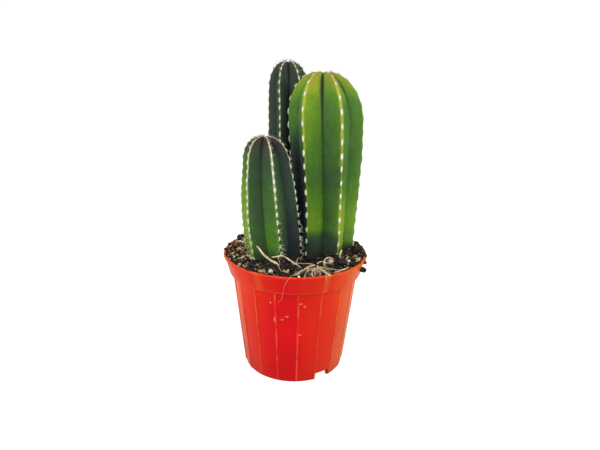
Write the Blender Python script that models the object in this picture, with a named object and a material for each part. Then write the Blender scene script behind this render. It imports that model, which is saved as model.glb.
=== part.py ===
"""A potted tall cactus: three six-ribbed stems in a ribbed plastic nursery pot of potting mix.

Lengths are millimetres until MM turns them into metres. +Z is up, the origin is the middle of
the pot's base, and -Y is the front. Angles run round the axis from the front towards +X.
"""

import math

import bmesh
import bpy
from mathutils import Vector

MM = 0.001
GAP = 0.35

# Pot: one thin moulded shell with a flared band and a rounded lip round its mouth.
POT_HEIGHT = 87.0
RIM_RADIUS = 52.5
BAND_BOTTOM = 73.2
BAND_RADIUS = 48.4
WALL_TOP_RADIUS = 45.7
BASE_RADIUS = 36.8
SHELL = 1.2
FLOOR_UNDERSIDE = 3.0
FOOT_WIDTH = 2.3
PANELS = 18
FIRST_RIB_DEG = 4.0
RIB_HEIGHT = 0.4
RIB_CREST_DEG = 0.8
RIB_FOOT_DEG = 1.3
NOTCH_HEIGHT = 4.7
NOTCH_PANELS = (1, 7, 13)
NOTCH_INNER_RADIUS = 28.0
NOTCH_OUTER_RADIUS = 42.0

# Potting mix: fills the shell and lies a little below the lip, with low mounds.
SOIL_LEVEL = 84.2
SOIL_SIDES = 60
SOIL_RINGS = 9
MOUNDS = (
    # x, y, height, spread
    (-8.0, -29.0, 6.6, 7.5),
    (-27.0, -26.0, 2.2, 8.0),
    (27.0, -17.5, 5.0, 8.0),
    (-41.0, 10.0, 3.8, 9.0),
    (43.0, -2.0, 3.8, 9.0),
    (7.0, -15.0, -1.6, 6.0),
    (20.0, 38.0, 1.6, 12.0),
)

# Stems: (x, y) at the soil, lean in x and y, bow in x, three crest radii up the body, depth
# below the soil, height of the top, height of the crown, and the ribs' angle and twist.
STEM_ROOT_LEVEL = 83.0
RIBS = 6
VALLEY_SHARE = 0.74
POINTS_PER_RIB = 6
BODY_RINGS = 7
CROWN_RINGS = 8
CREST_ROUNDING = 0.22
STEMS = {
    "stem_thick": {
        "foot": (20.0, 5.5),
        "lean": (-3.1, 0.0),
        "bow": 2.3,
        "radii": (22.0, 24.1, 26.0),
        "buried": 21.0,
        "top": 212.4,
        "crown": 32.5,
        "rib_deg": -35.5,
        "twist_deg": -3.9,
        "colour": (0.10, 0.27, 0.04),
    },
    "stem_short": {
        "foot": (-15.2, -10.0),
        "lean": (-6.4, 0.0),
        "bow": -0.7,
        "radii": (19.2, 20.0, 16.6),
        "buried": 17.0,
        "top": 170.4,
        "crown": 19.0,
        "rib_deg": -38.5,
        "twist_deg": -3.7,
        "colour": (0.03, 0.10, 0.04),
    },
    "stem_tall": {
        "foot": (-8.4, 29.0),
        "lean": (0.6, 4.5),
        "bow": 2.0,
        "radii": (13.2, 15.0, 14.7),
        "buried": 19.0,
        "top": 219.4,
        "crown": 21.0,
        "rib_deg": -16.8,
        "twist_deg": -11.6,
        "colour": (0.02, 0.05, 0.03),
    },
}

# Loose roots: each one's radius, and (x, y, z) of a few points down its middle.
ROOTS = {
    "root_long": (
        0.5,
        (
            (-15.8, -30.9, 92.6),
            (-12.6, -31.0, 93.1),
            (-8.3, -31.4, 93.9),
            (-5.4, -31.8, 92.6),
            (-2.5, -33.2, 90.9),
            (1.2, -35.0, 89.4),
            (4.6, -37.8, 88.0),
        ),
    ),
    "root_splinter": (
        0.75,
        (
            (-25.8, -27.6, 99.2),
            (-21.6, -30.4, 95.0),
            (-18.6, -31.6, 92.4),
            (-15.5, -33.2, 91.1),
            (-12.5, -35.2, 90.3),
            (-9.6, -37.5, 89.3),
        ),
    ),
    "root_spray_left": (
        0.42,
        (
            (14.0, -35.5, 89.2),
            (9.8, -36.2, 88.6),
            (5.5, -40.6, 87.6),
            (2.1, -46.6, 87.4),
            (-0.6, -50.4, 87.7),
        ),
    ),
    "root_spray_front": (
        0.4,
        ((13.6, -38.0, 88.9), (11.8, -43.0, 88.0), (11.2, -48.0, 87.9), (11.8, -51.0, 87.7)),
    ),
    "root_spray_right": (
        0.45,
        (
            (14.6, -37.2, 89.6),
            (16.3, -39.4, 89.0),
            (19.0, -43.4, 88.5),
            (21.9, -48.0, 88.2),
            (23.6, -49.8, 87.6),
        ),
    ),
    "root_spray_back": (
        0.38,
        ((14.6, -34.4, 89.9), (16.5, -31.0, 89.8), (19.4, -29.8, 89.6), (22.4, -30.4, 88.6)),
    ),
    "root_rim_right": (
        0.5,
        ((25.6, -41.2, 86.5), (29.8, -38.2, 86.6), (33.3, -35.5, 86.6), (36.6, -31.6, 86.5)),
    ),
    "root_curl_left": (
        0.5,
        ((-45.6, 11.4, 89.0), (-41.8, 8.6, 89.8), (-37.6, 6.2, 89.6), (-34.9, 0.8, 88.2)),
    ),
    "root_sliver_right": (0.6, ((31.0, -20.6, 89.5), (31.6, -20.8, 92.2), (32.6, -21.0, 95.4))),
    "root_loop_right": (
        0.35,
        (
            (19.9, -36.8, 88.9),
            (19.5, -35.2, 90.6),
            (20.6, -32.2, 92.5),
            (22.7, -29.2, 92.6),
            (25.0, -27.6, 91.5),
            (26.9, -25.6, 90.2),
        ),
    ),
}
ROOT_STEPS = 6
ROOT_CLEARANCE = 0.5

# Bark chips: x, y, height above the soil, length, width, thickness, heading and tilt in degrees.
CHIPS = {
    "bark_chip_left": (-38.0, -5.0, 2.2, 13.0, 2.6, 1.3, 100.0, 6.0),
    "bark_chip_rim_left": (-44.0, 3.0, 2.2, 7.5, 2.6, 1.2, 110.0, 14.0),
    "bark_chip_front": (-21.5, -40.5, 1.6, 5.0, 3.4, 1.3, 20.0, 6.0),
    "bark_chip_right": (42.5, -13.5, 1.9, 6.0, 3.6, 1.4, 75.0, 10.0),
    "bark_chip_yellow": (-5.6, -42.0, 1.5, 4.0, 2.2, 1.0, -30.0, 5.0),
    "bark_chip_back": (26.0, 36.0, 2.2, 8.0, 3.6, 1.5, 35.0, 8.0),
}

# Lumps of mix and grains of perlite: x, y, radius and how flat the lump is.
LUMPS = {
    "soil_clod_left": (-42.0, 18.5, 3.4, 0.8),
    "soil_clod_front_left": (-33.5, -24.5, 2.4, 0.8),
    "soil_clod_front": (-1.0, -38.6, 2.2, 0.7),
    "soil_clod_front_right": (32.5, -27.5, 2.9, 0.8),
    "soil_clod_right": (45.5, -5.5, 3.2, 0.8),
    "soil_clod_rim_right": (45.0, 10.5, 3.1, 0.8),
    "soil_clod_back": (10.0, 42.0, 3.0, 0.75),
    "perlite_grain_left": (-35.5, -17.5, 1.5, 0.85),
    "perlite_grain_front": (-15.5, -41.8, 1.6, 0.9),
    "perlite_grain_right": (37.0, -24.0, 1.3, 0.85),
    "perlite_grain_back": (-32.0, 31.0, 1.5, 0.85),
}
LUMP_CLEARANCE = 1.2

POT_RED = (0.72, 0.03, 0.01)
SOIL_BROWN = (0.03, 0.022, 0.016)
ROOT_TAN = (0.62, 0.47, 0.28)
BARK_BROWN = (0.33, 0.17, 0.07)
PERLITE_WHITE = (0.75, 0.75, 0.72)


def around(radius, angle_deg, height):
    """The point at this radius and height, at an angle from the front towards +X."""
    angle = math.radians(angle_deg)
    return (radius * math.sin(angle), -radius * math.cos(angle), height)


def blend(low, high, share):
    """The value this share of the way from low to high."""
    return low + (high - low) * share


def clear_scene():
    """Removes what the startup scene holds."""
    for obj in list(bpy.data.objects):
        bpy.data.objects.remove(obj, do_unlink=True)


def finish(name, colour, roughness):
    """A plain Principled material for one node."""
    made = bpy.data.materials.new(name)
    made.use_nodes = True
    shader = made.node_tree.nodes["Principled BSDF"]
    shader.inputs["Base Color"].default_value = (*colour, 1.0)
    shader.inputs["Roughness"].default_value = roughness
    shader.inputs["Metallic"].default_value = 0.0
    return made


def place(name, data, material):
    """Links a mesh or a curve to the scene as a named object with its material."""
    obj = bpy.data.objects.new(name, data)
    bpy.context.scene.collection.objects.link(obj)
    obj.data.materials.append(material)
    return obj


def mesh_of(name, bm, sharp_deg=40.0):
    """A shaded mesh from a bmesh in millimetres, which it frees."""
    bmesh.ops.recalc_face_normals(bm, faces=bm.faces)
    bmesh.ops.scale(bm, vec=(MM, MM, MM), verts=bm.verts)
    mesh = bpy.data.meshes.new(name)
    bm.to_mesh(mesh)
    bm.free()
    mesh.shade_smooth()
    mesh.set_sharp_from_angle(angle=math.radians(sharp_deg))
    return mesh


def loft(name, rings, sharp_deg=40.0):
    """A closed skin that joins each ring of points to the next, with both ends capped."""
    bm = bmesh.new()
    loops = [[bm.verts.new(point) for point in ring] for ring in rings]
    for low, high in zip(loops, loops[1:]):
        for i, point in enumerate(low):
            after = (i + 1) % len(low)
            bm.faces.new((point, low[after], high[after], high[i]))
    bm.faces.new(loops[0][::-1])
    bm.faces.new(loops[-1])
    return mesh_of(name, bm, sharp_deg)


def cut(obj, cutters):
    """Takes each cutter away from the object and hides the cutters."""
    for cutter in cutters:
        cutter.hide_render = True
        cutter.display_type = "WIRE"
        modifier = obj.modifiers.new(f"less_{cutter.name}", "BOOLEAN")
        modifier.operation = "DIFFERENCE"
        modifier.solver = "EXACT"
        modifier.object = cutter


def panel_angles():
    """Angles round the pot, each with True where it lies on a rib's crest."""
    panel = 360.0 / PANELS
    steps = (
        (-RIB_FOOT_DEG, False),
        (-RIB_CREST_DEG, True),
        (RIB_CREST_DEG, True),
        (RIB_FOOT_DEG, False),
        (panel / 3, False),
        (2 * panel / 3, False),
    )
    return [
        (FIRST_RIB_DEG + panel * index + step, crest)
        for index in range(PANELS)
        for step, crest in steps
    ]


def pot_profile():
    """The shell's section as (radius, height, ribbed), from under the floor over the lip and down inside."""
    lip = (
        (RIM_RADIUS - 1.2, POT_HEIGHT - 2.2),
        (RIM_RADIUS - 0.3, POT_HEIGHT - 1.9),
        (RIM_RADIUS, POT_HEIGHT - 1.1),
        (RIM_RADIUS - 0.4, POT_HEIGHT - 0.3),
        (RIM_RADIUS - 1.1, POT_HEIGHT),
        (RIM_RADIUS - 2.0, POT_HEIGHT - 0.4),
        (RIM_RADIUS - 2.4, POT_HEIGHT - 1.8),
    )
    below = (
        (BASE_RADIUS - FOOT_WIDTH - 0.6, FLOOR_UNDERSIDE, False),
        (BASE_RADIUS - FOOT_WIDTH, 0.0, False),
        (BASE_RADIUS - 0.5, 0.0, False),
        (BASE_RADIUS, 0.6, True),
        (WALL_TOP_RADIUS, BAND_BOTTOM, True),
        (BAND_RADIUS - 0.2, BAND_BOTTOM - 0.2, False),
        (BAND_RADIUS + 0.1, BAND_BOTTOM + 0.3, False),
    )
    inside = (
        (BAND_RADIUS - SHELL, BAND_BOTTOM + 0.8, False),
        (WALL_TOP_RADIUS - SHELL, BAND_BOTTOM - SHELL, False),
        (BASE_RADIUS - 0.9, FLOOR_UNDERSIDE + SHELL, False),
    )
    return below + tuple((radius, height, False) for radius, height in lip) + inside


def pot_inner_radius(height):
    """The radius of the shell's inner wall at this height."""
    low, shoulder = FLOOR_UNDERSIDE + SHELL, BAND_BOTTOM - SHELL
    if height <= shoulder:
        share = (height - low) / (shoulder - low)
        return blend(BASE_RADIUS - 0.9, WALL_TOP_RADIUS - SHELL, share)
    share = (height - BAND_BOTTOM - 0.8) / (POT_HEIGHT - 1.8 - BAND_BOTTOM - 0.8)
    return blend(BAND_RADIUS - SHELL, RIM_RADIUS - 2.4, share)


def notch_cutter(panel):
    """A wedge that opens the foot and the floor's corner between two ribs."""
    width = 360.0 / PANELS
    first = FIRST_RIB_DEG + panel * width + RIB_FOOT_DEG + 0.1
    last = FIRST_RIB_DEG + (panel + 1) * width - RIB_FOOT_DEG - 0.1
    angles = [blend(first, last, i / 4) for i in range(5)]
    rings = []
    for height in (-1.0, NOTCH_HEIGHT):
        outer = [around(NOTCH_OUTER_RADIUS, angle, height) for angle in angles]
        inner = [around(NOTCH_INNER_RADIUS, angle, height) for angle in reversed(angles)]
        rings.append(outer + inner)
    name = f"notch_cutter_{panel}"
    return place(name, loft(name, rings), bpy.data.materials["pot"])


def build_pot():
    """The moulded pot: shell, band, lip, wall ribs, feet and drainage notches."""
    material = finish("pot", POT_RED, 0.25)
    angles = panel_angles()
    rings = [
        [
            around(radius + (RIB_HEIGHT if ribbed and crest else 0.0), angle, height)
            for angle, crest in angles
        ]
        for radius, height, ribbed in pot_profile()
    ]
    pot = place("pot", loft("pot", rings, 30.0), material)
    cut(pot, [notch_cutter(panel) for panel in NOTCH_PANELS])
    return pot


def soil_height(x, y):
    """The height of the potting mix's surface: its level, the mounds and small ripples."""
    height = SOIL_LEVEL
    for mound_x, mound_y, rise, spread in MOUNDS:
        height += rise * math.exp(-((x - mound_x) ** 2 + (y - mound_y) ** 2) / (2 * spread**2))
    height += 0.45 * math.sin(0.55 * x + 1.3) * math.sin(0.47 * y + 0.6)
    return height + 0.3 * math.sin(0.31 * x - 0.37 * y)


def crest_weight(offset_deg):
    """1 on a rib's crest and 0 in the valley, for an angle from the nearest crest."""
    half = 180.0 / RIBS
    share = abs((offset_deg + half) % (2 * half) - half) / half
    rounded = math.hypot(share, CREST_ROUNDING) - CREST_ROUNDING
    return 1.0 - rounded / (math.hypot(1.0, CREST_ROUNDING) - CREST_ROUNDING)


def stem_ring(stem, height, radius, grow):
    """One ring of a stem: a six-pointed section about its leaning, bowed axis."""
    share = (height - STEM_ROOT_LEVEL) / (stem["top"] - STEM_ROOT_LEVEL)
    above = max(share, 0.0)
    x = stem["foot"][0] + stem["lean"][0] * above + stem["bow"] * 4 * above * (1 - above)
    y = stem["foot"][1] + stem["lean"][1] * above
    turn = stem["rib_deg"] + stem["twist_deg"] * above
    count = RIBS * POINTS_PER_RIB
    ring = []
    for i in range(count):
        offset = 360.0 * i / count
        crest = crest_weight(offset)
        reach = radius * blend(VALLEY_SHARE, 1.0, crest) + grow
        point = around(reach, turn + offset, height)
        ring.append((x + point[0], y + point[1], point[2]))
    return ring


def stem_profile(stem):
    """(height, crest radius) up a stem: the buried foot, the body, the crown and its dimple."""
    foot, middle, shoulder_radius = stem["radii"]
    shoulder = stem["top"] - stem["crown"]
    bottom = STEM_ROOT_LEVEL - stem["buried"]
    profile = [(bottom, 0.5 * foot), (bottom + 4, 0.82 * foot), (bottom + 11, 0.96 * foot)]
    for i in range(BODY_RINGS):
        share = i / BODY_RINGS
        low = foot * (1 - share) * (1 - 2 * share)
        radius = low + middle * 4 * share * (1 - share) + shoulder_radius * share * (2 * share - 1)
        profile.append((blend(STEM_ROOT_LEVEL, shoulder, share), radius))
    for i in range(CROWN_RINGS):
        rise = math.sin(math.radians(86.0 * i / (CROWN_RINGS - 1)))
        profile.append((shoulder + stem["crown"] * rise, shoulder_radius * math.sqrt(1 - rise**2.2)))
    profile.append((stem["top"] - 1.2, 0.1 * shoulder_radius))
    return profile


def stem_rings(stem, grow=0.0):
    """All rings of a stem, grown outwards by a clearance."""
    return [stem_ring(stem, height, radius, grow) for height, radius in stem_profile(stem)]


def build_stem(name, stem):
    """One cactus stem, in one piece from its buried foot to its crown."""
    return place(name, loft(name, stem_rings(stem), 70.0), finish(name, stem["colour"], 0.45))


def pocket_cutter(name, stem):
    """The stem's own shape grown by the gap, which leaves its pocket in the potting mix."""
    rings = stem_rings(stem, GAP)
    rings[0] = [(x, y, z - GAP) for x, y, z in rings[0]]
    cutter_name = f"{name}_pocket"
    return place(cutter_name, loft(cutter_name, rings), bpy.data.materials["soil"])


def build_soil():
    """The block of potting mix that fills the pot, with a pocket round each stem's foot."""
    material = finish("soil", SOIL_BROWN, 0.95)
    angles = [360.0 * i / SOIL_SIDES for i in range(SOIL_SIDES)]
    floor = FLOOR_UNDERSIDE + SHELL + GAP
    edge = SOIL_LEVEL - 2.2
    heights = (floor, BAND_BOTTOM - SHELL, BAND_BOTTOM + 1.2, edge)
    rings = [
        [around(pot_inner_radius(height) - GAP, angle, height) for angle in angles]
        for height in heights
    ]
    edge_radius = pot_inner_radius(edge) - GAP
    for i in range(SOIL_RINGS):
        radius = edge_radius * (1 - i / SOIL_RINGS)
        flat = [around(radius - 0.3, angle, 0.0) for angle in angles]
        rings.append([(x, y, soil_height(x, y)) for x, y, _ in flat])
    soil = place("soil", loft("soil", rings), material)
    cut(soil, [pocket_cutter(name, stem) for name, stem in STEMS.items()])
    return soil


def build_root(name, radius, route):
    """A loose root: a round tube along a smooth curve through its own few points."""
    points = [
        Vector((x, y, max(z, soil_height(x, y) + radius + ROOT_CLEARANCE))) for x, y, z in route
    ]
    curve = bpy.data.curves.new(name, "CURVE")
    curve.dimensions = "3D"
    curve.bevel_depth = radius * MM
    curve.bevel_resolution = 1
    curve.resolution_u = ROOT_STEPS
    curve.use_fill_caps = True
    spline = curve.splines.new("BEZIER")
    spline.bezier_points.add(len(points) - 1)
    for knot, point in zip(spline.bezier_points, points):
        knot.co = point * MM
        knot.handle_left_type = "AUTO"
        knot.handle_right_type = "AUTO"
    return place(name, curve, finish(name, ROOT_TAN, 0.8))


def build_chip(name, size):
    """A flat chip of bark with rounded edges."""
    x, y, above, length, width, thickness, heading, tilt = size
    bm = bmesh.new()
    bmesh.ops.create_cube(bm, size=1.0)
    bmesh.ops.scale(bm, vec=(length, width, thickness), verts=bm.verts)
    bmesh.ops.bevel(bm, geom=bm.edges[:], offset=0.3 * thickness, segments=1, affect="EDGES")
    chip = place(name, mesh_of(name, bm), finish(name, BARK_BROWN, 0.85))
    chip.location = Vector((x, y, soil_height(x, y) + above)) * MM
    chip.rotation_euler = (math.radians(tilt), math.radians(tilt), math.radians(heading))
    return chip


def build_lump(name, x, y, radius, flatness):
    """A rounded, uneven lump that lies on the potting mix."""
    bm = bmesh.new()
    bmesh.ops.create_icosphere(bm, subdivisions=2, radius=radius)
    for vert in bm.verts:
        wave = math.sin(2.1 * vert.co.x + x) * math.cos(1.7 * vert.co.y + y)
        vert.co *= 1 + 0.08 * wave
        vert.co.z *= flatness
    colour = PERLITE_WHITE if name.startswith("perlite") else SOIL_BROWN
    lump = place(name, mesh_of(name, bm), finish(name, colour, 0.95))
    height = soil_height(x, y) + radius * flatness + LUMP_CLEARANCE
    lump.location = Vector((x, y, height)) * MM
    return lump


def main():
    """Builds the pot, the potting mix, the stems and what lies on the mix."""
    clear_scene()
    build_pot()
    build_soil()
    for name, stem in STEMS.items():
        build_stem(name, stem)
    for name, (radius, route) in ROOTS.items():
        build_root(name, radius, route)
    for name, size in CHIPS.items():
        build_chip(name, size)
    for name, (x, y, radius, flatness) in LUMPS.items():
        build_lump(name, x, y, radius, flatness)


if __name__ == "__main__":
    main()
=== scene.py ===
"""Looks of a potted tall cactus: three ribbed stems in a red nursery pot of potting mix.

Lengths are millimetres until a mesh is made. +Z is up, -Y is the front, and angles run round
the axis from the front towards +X. Each piece stands for one solid of the frame, or is fine
growth on one: areoles, spines, crumbs and hair roots.
"""

import itertools
import logging
import math
from dataclasses import dataclass, field
from enum import Enum

import bpy
import numpy as np
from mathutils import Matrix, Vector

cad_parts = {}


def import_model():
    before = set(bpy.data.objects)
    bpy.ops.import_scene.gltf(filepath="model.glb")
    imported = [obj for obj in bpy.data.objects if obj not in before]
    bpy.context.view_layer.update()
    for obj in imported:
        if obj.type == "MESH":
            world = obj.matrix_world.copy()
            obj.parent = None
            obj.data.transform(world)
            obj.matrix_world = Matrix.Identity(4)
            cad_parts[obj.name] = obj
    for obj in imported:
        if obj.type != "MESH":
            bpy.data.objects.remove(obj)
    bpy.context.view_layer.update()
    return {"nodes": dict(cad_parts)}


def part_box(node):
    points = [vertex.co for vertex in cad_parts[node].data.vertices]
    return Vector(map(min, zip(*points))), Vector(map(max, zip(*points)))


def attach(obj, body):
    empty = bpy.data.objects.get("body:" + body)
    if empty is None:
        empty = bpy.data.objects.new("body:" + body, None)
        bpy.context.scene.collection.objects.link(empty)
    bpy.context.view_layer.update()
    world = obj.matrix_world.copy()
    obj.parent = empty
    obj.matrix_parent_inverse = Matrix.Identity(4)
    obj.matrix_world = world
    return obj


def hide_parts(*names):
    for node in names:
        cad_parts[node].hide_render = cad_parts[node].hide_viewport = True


Array = np.ndarray
Generator = np.random.Generator
Material = bpy.types.Material
Socket = bpy.types.NodeSocket
Colour = tuple[float, float, float, float]
Triple = tuple[float, float, float]

MM = 0.001
ROOT_BODY = "root"
LOG = logging.getLogger("potted_cactus")

# Sizes that more than one part of the plant uses, in millimetres and degrees.
PANELS = 18
PANEL_DEG = 360.0 / PANELS
FIRST_RIB_DEG = 4.0
BAND_BOTTOM = 73.2
WALL_TOP = 45.7
SOIL_ROOT = 83.0  # the height at which a stem's own measures start, a little under the mix


# ---- arrays and surfaces


def srgb(red: int, green: int, blue: int) -> Colour:
    """The linear colour of a display colour given in 0 to 255."""
    share = np.array([red, green, blue]) / 255.0
    linear = np.where(share <= 0.04045, share / 12.92, ((share + 0.055) / 1.055) ** 2.4)
    return (*[float(value) for value in linear], 1.0)


def ease(low: float, high: float, value: Array) -> Array:
    """0 below low and 1 above high, with a smooth cubic step between them."""
    share = np.clip((value - low) / (high - low), 0.0, 1.0)
    return share * share * (3.0 - 2.0 * share)


def lattice_noise(points: Array, cell: float, seed: int) -> Array:
    """Smooth noise from -1 to 1.

    A hashed value stands at each corner of a cubic lattice, and a point takes the eight values
    round it, weighted by eased distances.

    Args:
        points: Places, (n, 3).
        cell: The lattice's spacing.
        seed: Picks one noise out of many.

    Returns:
        One value for each point.
    """
    place = points / cell
    base = np.floor(place).astype(np.int64)
    share = ease(0.0, 1.0, place - base)
    total = np.zeros(len(points))
    for corner in itertools.product((0, 1), repeat=3):
        x, y, z = (base + corner).T
        mixed = (x * 374761393 + y * 668265263 + z * 1440662683 + seed * 1274126177) & 0xFFFFFFFF
        mixed = ((mixed ^ (mixed >> 13)) * 1274126177) & 0xFFFFFFFF
        value = ((mixed ^ (mixed >> 16)) & 0xFFFF) / 32767.5 - 1.0
        total += value * np.prod(np.where(corner, share, 1.0 - share), axis=1)
    return total


def layered_noise(points: Array, cell: float, layers: int, seed: int) -> Array:
    """Sum of noises, each half the cell and half the height of the one before it."""
    return sum(
        lattice_noise(points, cell / 2**layer, seed + layer) / 2**layer for layer in range(layers)
    )


def around(radius: Array, angle_deg: Array, height: Array) -> Array:
    """Points at these radii, angles from the front towards +X, and heights."""
    angle = np.radians(angle_deg)
    radius, angle, height = np.broadcast_arrays(radius, angle, height)
    return np.stack([radius * np.sin(angle), -radius * np.cos(angle), height], axis=-1)


def unit(vectors: Array) -> Array:
    """The vectors at length 1."""
    return vectors / np.maximum(np.linalg.norm(vectors, axis=-1, keepdims=True), 1e-9)


def through(knots: Array, steps: int) -> Array:
    """A smooth path through a few points.

    Between two knots the path is the cubic whose slopes are half the span of the neighbours.

    Args:
        knots: The route's own points, (k, 3).
        steps: How many points the path gets.

    Returns:
        The path, (steps, 3).
    """
    ends = np.concatenate([knots[:1], knots, knots[-1:]])
    at = np.linspace(0, len(knots) - 1, steps)
    span = np.minimum(at.astype(int), len(knots) - 2)
    t = (at - span)[:, None]
    before, here, after, beyond = (ends[span + shift] for shift in range(4))
    return 0.5 * (
        2 * here
        + (after - before) * t
        + (2 * before - 5 * here + 4 * after - beyond) * t**2
        + (3 * here - before - 3 * after + beyond) * t**3
    )


@dataclass
class Skin:
    """A surface held as arrays.

    Attributes:
        points: Places in millimetres, (n, 3).
        quads: Faces with four corners.
        triangles: Faces with three corners.
        marks: Named values, one for each point, which finishes read.
    """

    points: Array
    quads: Array
    triangles: Array
    marks: dict[str, Array] = field(default_factory=dict)


def joined(skins: list[Skin]) -> Skin:
    """Several skins with the same marks as one."""
    starts = np.cumsum([0] + [len(skin.points) for skin in skins[:-1]])
    return Skin(
        np.concatenate([skin.points for skin in skins]),
        np.concatenate([skin.quads + start for skin, start in zip(skins, starts)]),
        np.concatenate([skin.triangles + start for skin, start in zip(skins, starts)]),
        {name: np.concatenate([skin.marks[name] for skin in skins]) for name in skins[0].marks},
    )


def lofted(grid: Array, marks: dict[str, Array] | None = None) -> Skin:
    """A closed skin over a grid of rings, with a fan at each end.

    Args:
        grid: Ring points, (rings, points per ring, 3), anticlockwise seen from the last ring.
        marks: Values on the grid, (rings, points per ring).

    Returns:
        The skin, whose two last points are the fans' middles.
    """
    rings, columns = grid.shape[:2]
    index = np.arange(rings * columns).reshape(rings, columns)
    after = np.roll(index, -1, axis=1)
    quads = np.stack([index[:-1], after[:-1], after[1:], index[1:]], axis=-1).reshape(-1, 4)
    first, last = (np.full(columns, rings * columns + end) for end in (0, 1))
    fans = np.concatenate(
        [
            np.stack([first, after[0], index[0]], axis=-1),
            np.stack([last, index[-1], after[-1]], axis=-1),
        ]
    )
    points = np.concatenate([grid.reshape(-1, 3), grid[0].mean(0)[None], grid[-1].mean(0)[None]])
    values = {
        name: np.concatenate([mark.ravel(), [mark[0].mean(), mark[-1].mean()]])
        for name, mark in (marks or {}).items()
    }
    return Skin(points, quads, fans, values)


def swept(paths: Array, radii: Array, sides: int) -> Skin:
    """Round tubes along many paths at once.

    Each ring is the path's point plus its radius times the cosine and sine of the turn along two
    directions square to the path. The mark "along" runs from 0 at the start to 1 at the end.

    Args:
        paths: (tubes, steps, 3).
        radii: (tubes, steps).
        sides: Points in a ring.

    Returns:
        All the tubes as one skin, closed at both ends.
    """
    tubes, steps = paths.shape[:2]
    along = unit(np.gradient(paths, axis=1))
    across = unit(np.cross(along, (0.31, 0.17, 0.93)))
    above = np.cross(along, across)
    turn = np.arange(sides) * 2 * np.pi / sides
    ring = np.cos(turn)[:, None] * across[:, :, None] + np.sin(turn)[:, None] * above[:, :, None]
    grid = paths[:, :, None] + radii[:, :, None, None] * ring
    index = np.arange(tubes * steps * sides).reshape(tubes, steps, sides)
    after = np.roll(index, -1, axis=2)
    quads = np.stack([index[:, :-1], after[:, :-1], after[:, 1:], index[:, 1:]], axis=-1)
    ends = tubes * steps * sides + np.arange(2 * tubes).reshape(2, tubes, 1)
    first, last = (np.broadcast_to(end, (tubes, sides)) for end in ends)
    fans = np.concatenate(
        [
            np.stack([first, after[:, 0], index[:, 0]], axis=-1).reshape(-1, 3),
            np.stack([last, index[:, -1], after[:, -1]], axis=-1).reshape(-1, 3),
        ]
    )
    points = np.concatenate([grid.reshape(-1, 3), paths[:, 0], paths[:, -1]])
    share = np.broadcast_to(np.linspace(0, 1, steps)[:, None], (tubes, steps, sides)).ravel()
    marks = {"along": np.concatenate([share, np.zeros(tubes), np.ones(tubes)])}
    return Skin(points, quads.reshape(-1, 4), fans, marks)


def ball(rings: int, columns: int) -> Skin:
    """A unit sphere as rings of equal angles between its two poles."""
    tilt = np.linspace(-np.pi / 2, np.pi / 2, rings + 2)[1:-1, None]
    turn = np.arange(columns)[None] * 360.0 / columns
    skin = lofted(around(np.cos(tilt), turn, np.sin(tilt)))
    skin.points[-2:] = [[0, 0, -1], [0, 0, 1]]
    return skin


def copies(model: Skin, centres: Array, axes: Array, sizes: Array) -> Skin:
    """Many turned and stretched copies of one small skin.

    Args:
        model: The skin to repeat.
        centres: (n, 3).
        axes: (n, 3, 3), whose columns are each copy's own directions.
        sizes: (n, 3), the stretch along each direction.

    Returns:
        One skin. The mark "copy" holds each point's copy number.
    """
    stretched = model.points[None] * sizes[:, None]
    points = centres[:, None] + np.einsum("nij,nvj->nvi", axes, stretched)
    count, each = len(centres), len(model.points)
    shift = (np.arange(count) * each)[:, None, None]
    return Skin(
        points.reshape(-1, 3),
        (model.quads[None] + shift).reshape(-1, 4),
        (model.triangles[None] + shift).reshape(-1, 3),
        {"copy": np.repeat(np.arange(count), each).astype(np.float64)},
    )


def random_axes(draw: Generator, count: int) -> Array:
    """Random right-handed sets of square directions, from the QR split of random matrices."""
    axes = np.linalg.qr(draw.normal(size=(count, 3, 3)))[0]
    axes[..., 0] *= np.linalg.det(axes)[:, None]
    return axes


def rough_copies(
    draw: Generator, model: Skin, centres: Array, sizes: Array, seed: int
) -> tuple[Skin, Array]:
    """Copies of a small skin, each turned its own way and roughened by noise.

    A point moves away from its copy's middle by a noisy share of its distance from it.

    Args:
        draw: Gives the directions.
        model: The skin to repeat.
        centres: (n, 3).
        sizes: (n, 3).
        seed: Picks the noise.

    Returns:
        The copies as one skin, and each point's copy number.
    """
    lumps = copies(model, centres, random_axes(draw, len(centres)), sizes)
    rough = 0.3 * lattice_noise(lumps.points, 0.9, seed)[:, None]
    each = np.repeat(np.arange(len(centres)), len(model.points))
    lumps.points += rough * (lumps.points - centres[each])
    return lumps, each


def tube_of(tubes: int, ring_points: int) -> Array:
    """The number of the tube that each point of a swept skin belongs to."""
    owner = np.arange(tubes)
    return np.concatenate([np.repeat(owner, ring_points), owner, owner])


def box_mm(node: str) -> tuple[Array, Array]:
    """The lowest and highest corners of one of the frame's solids, in millimetres."""
    low, high = (np.array(corner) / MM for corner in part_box(node))
    return low, high


def linked(name: str, data: bpy.types.ID) -> bpy.types.Object:
    """A new object of this data, in the scene."""
    made = bpy.data.objects.new(name, data)
    bpy.context.scene.collection.objects.link(made)
    return made


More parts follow.
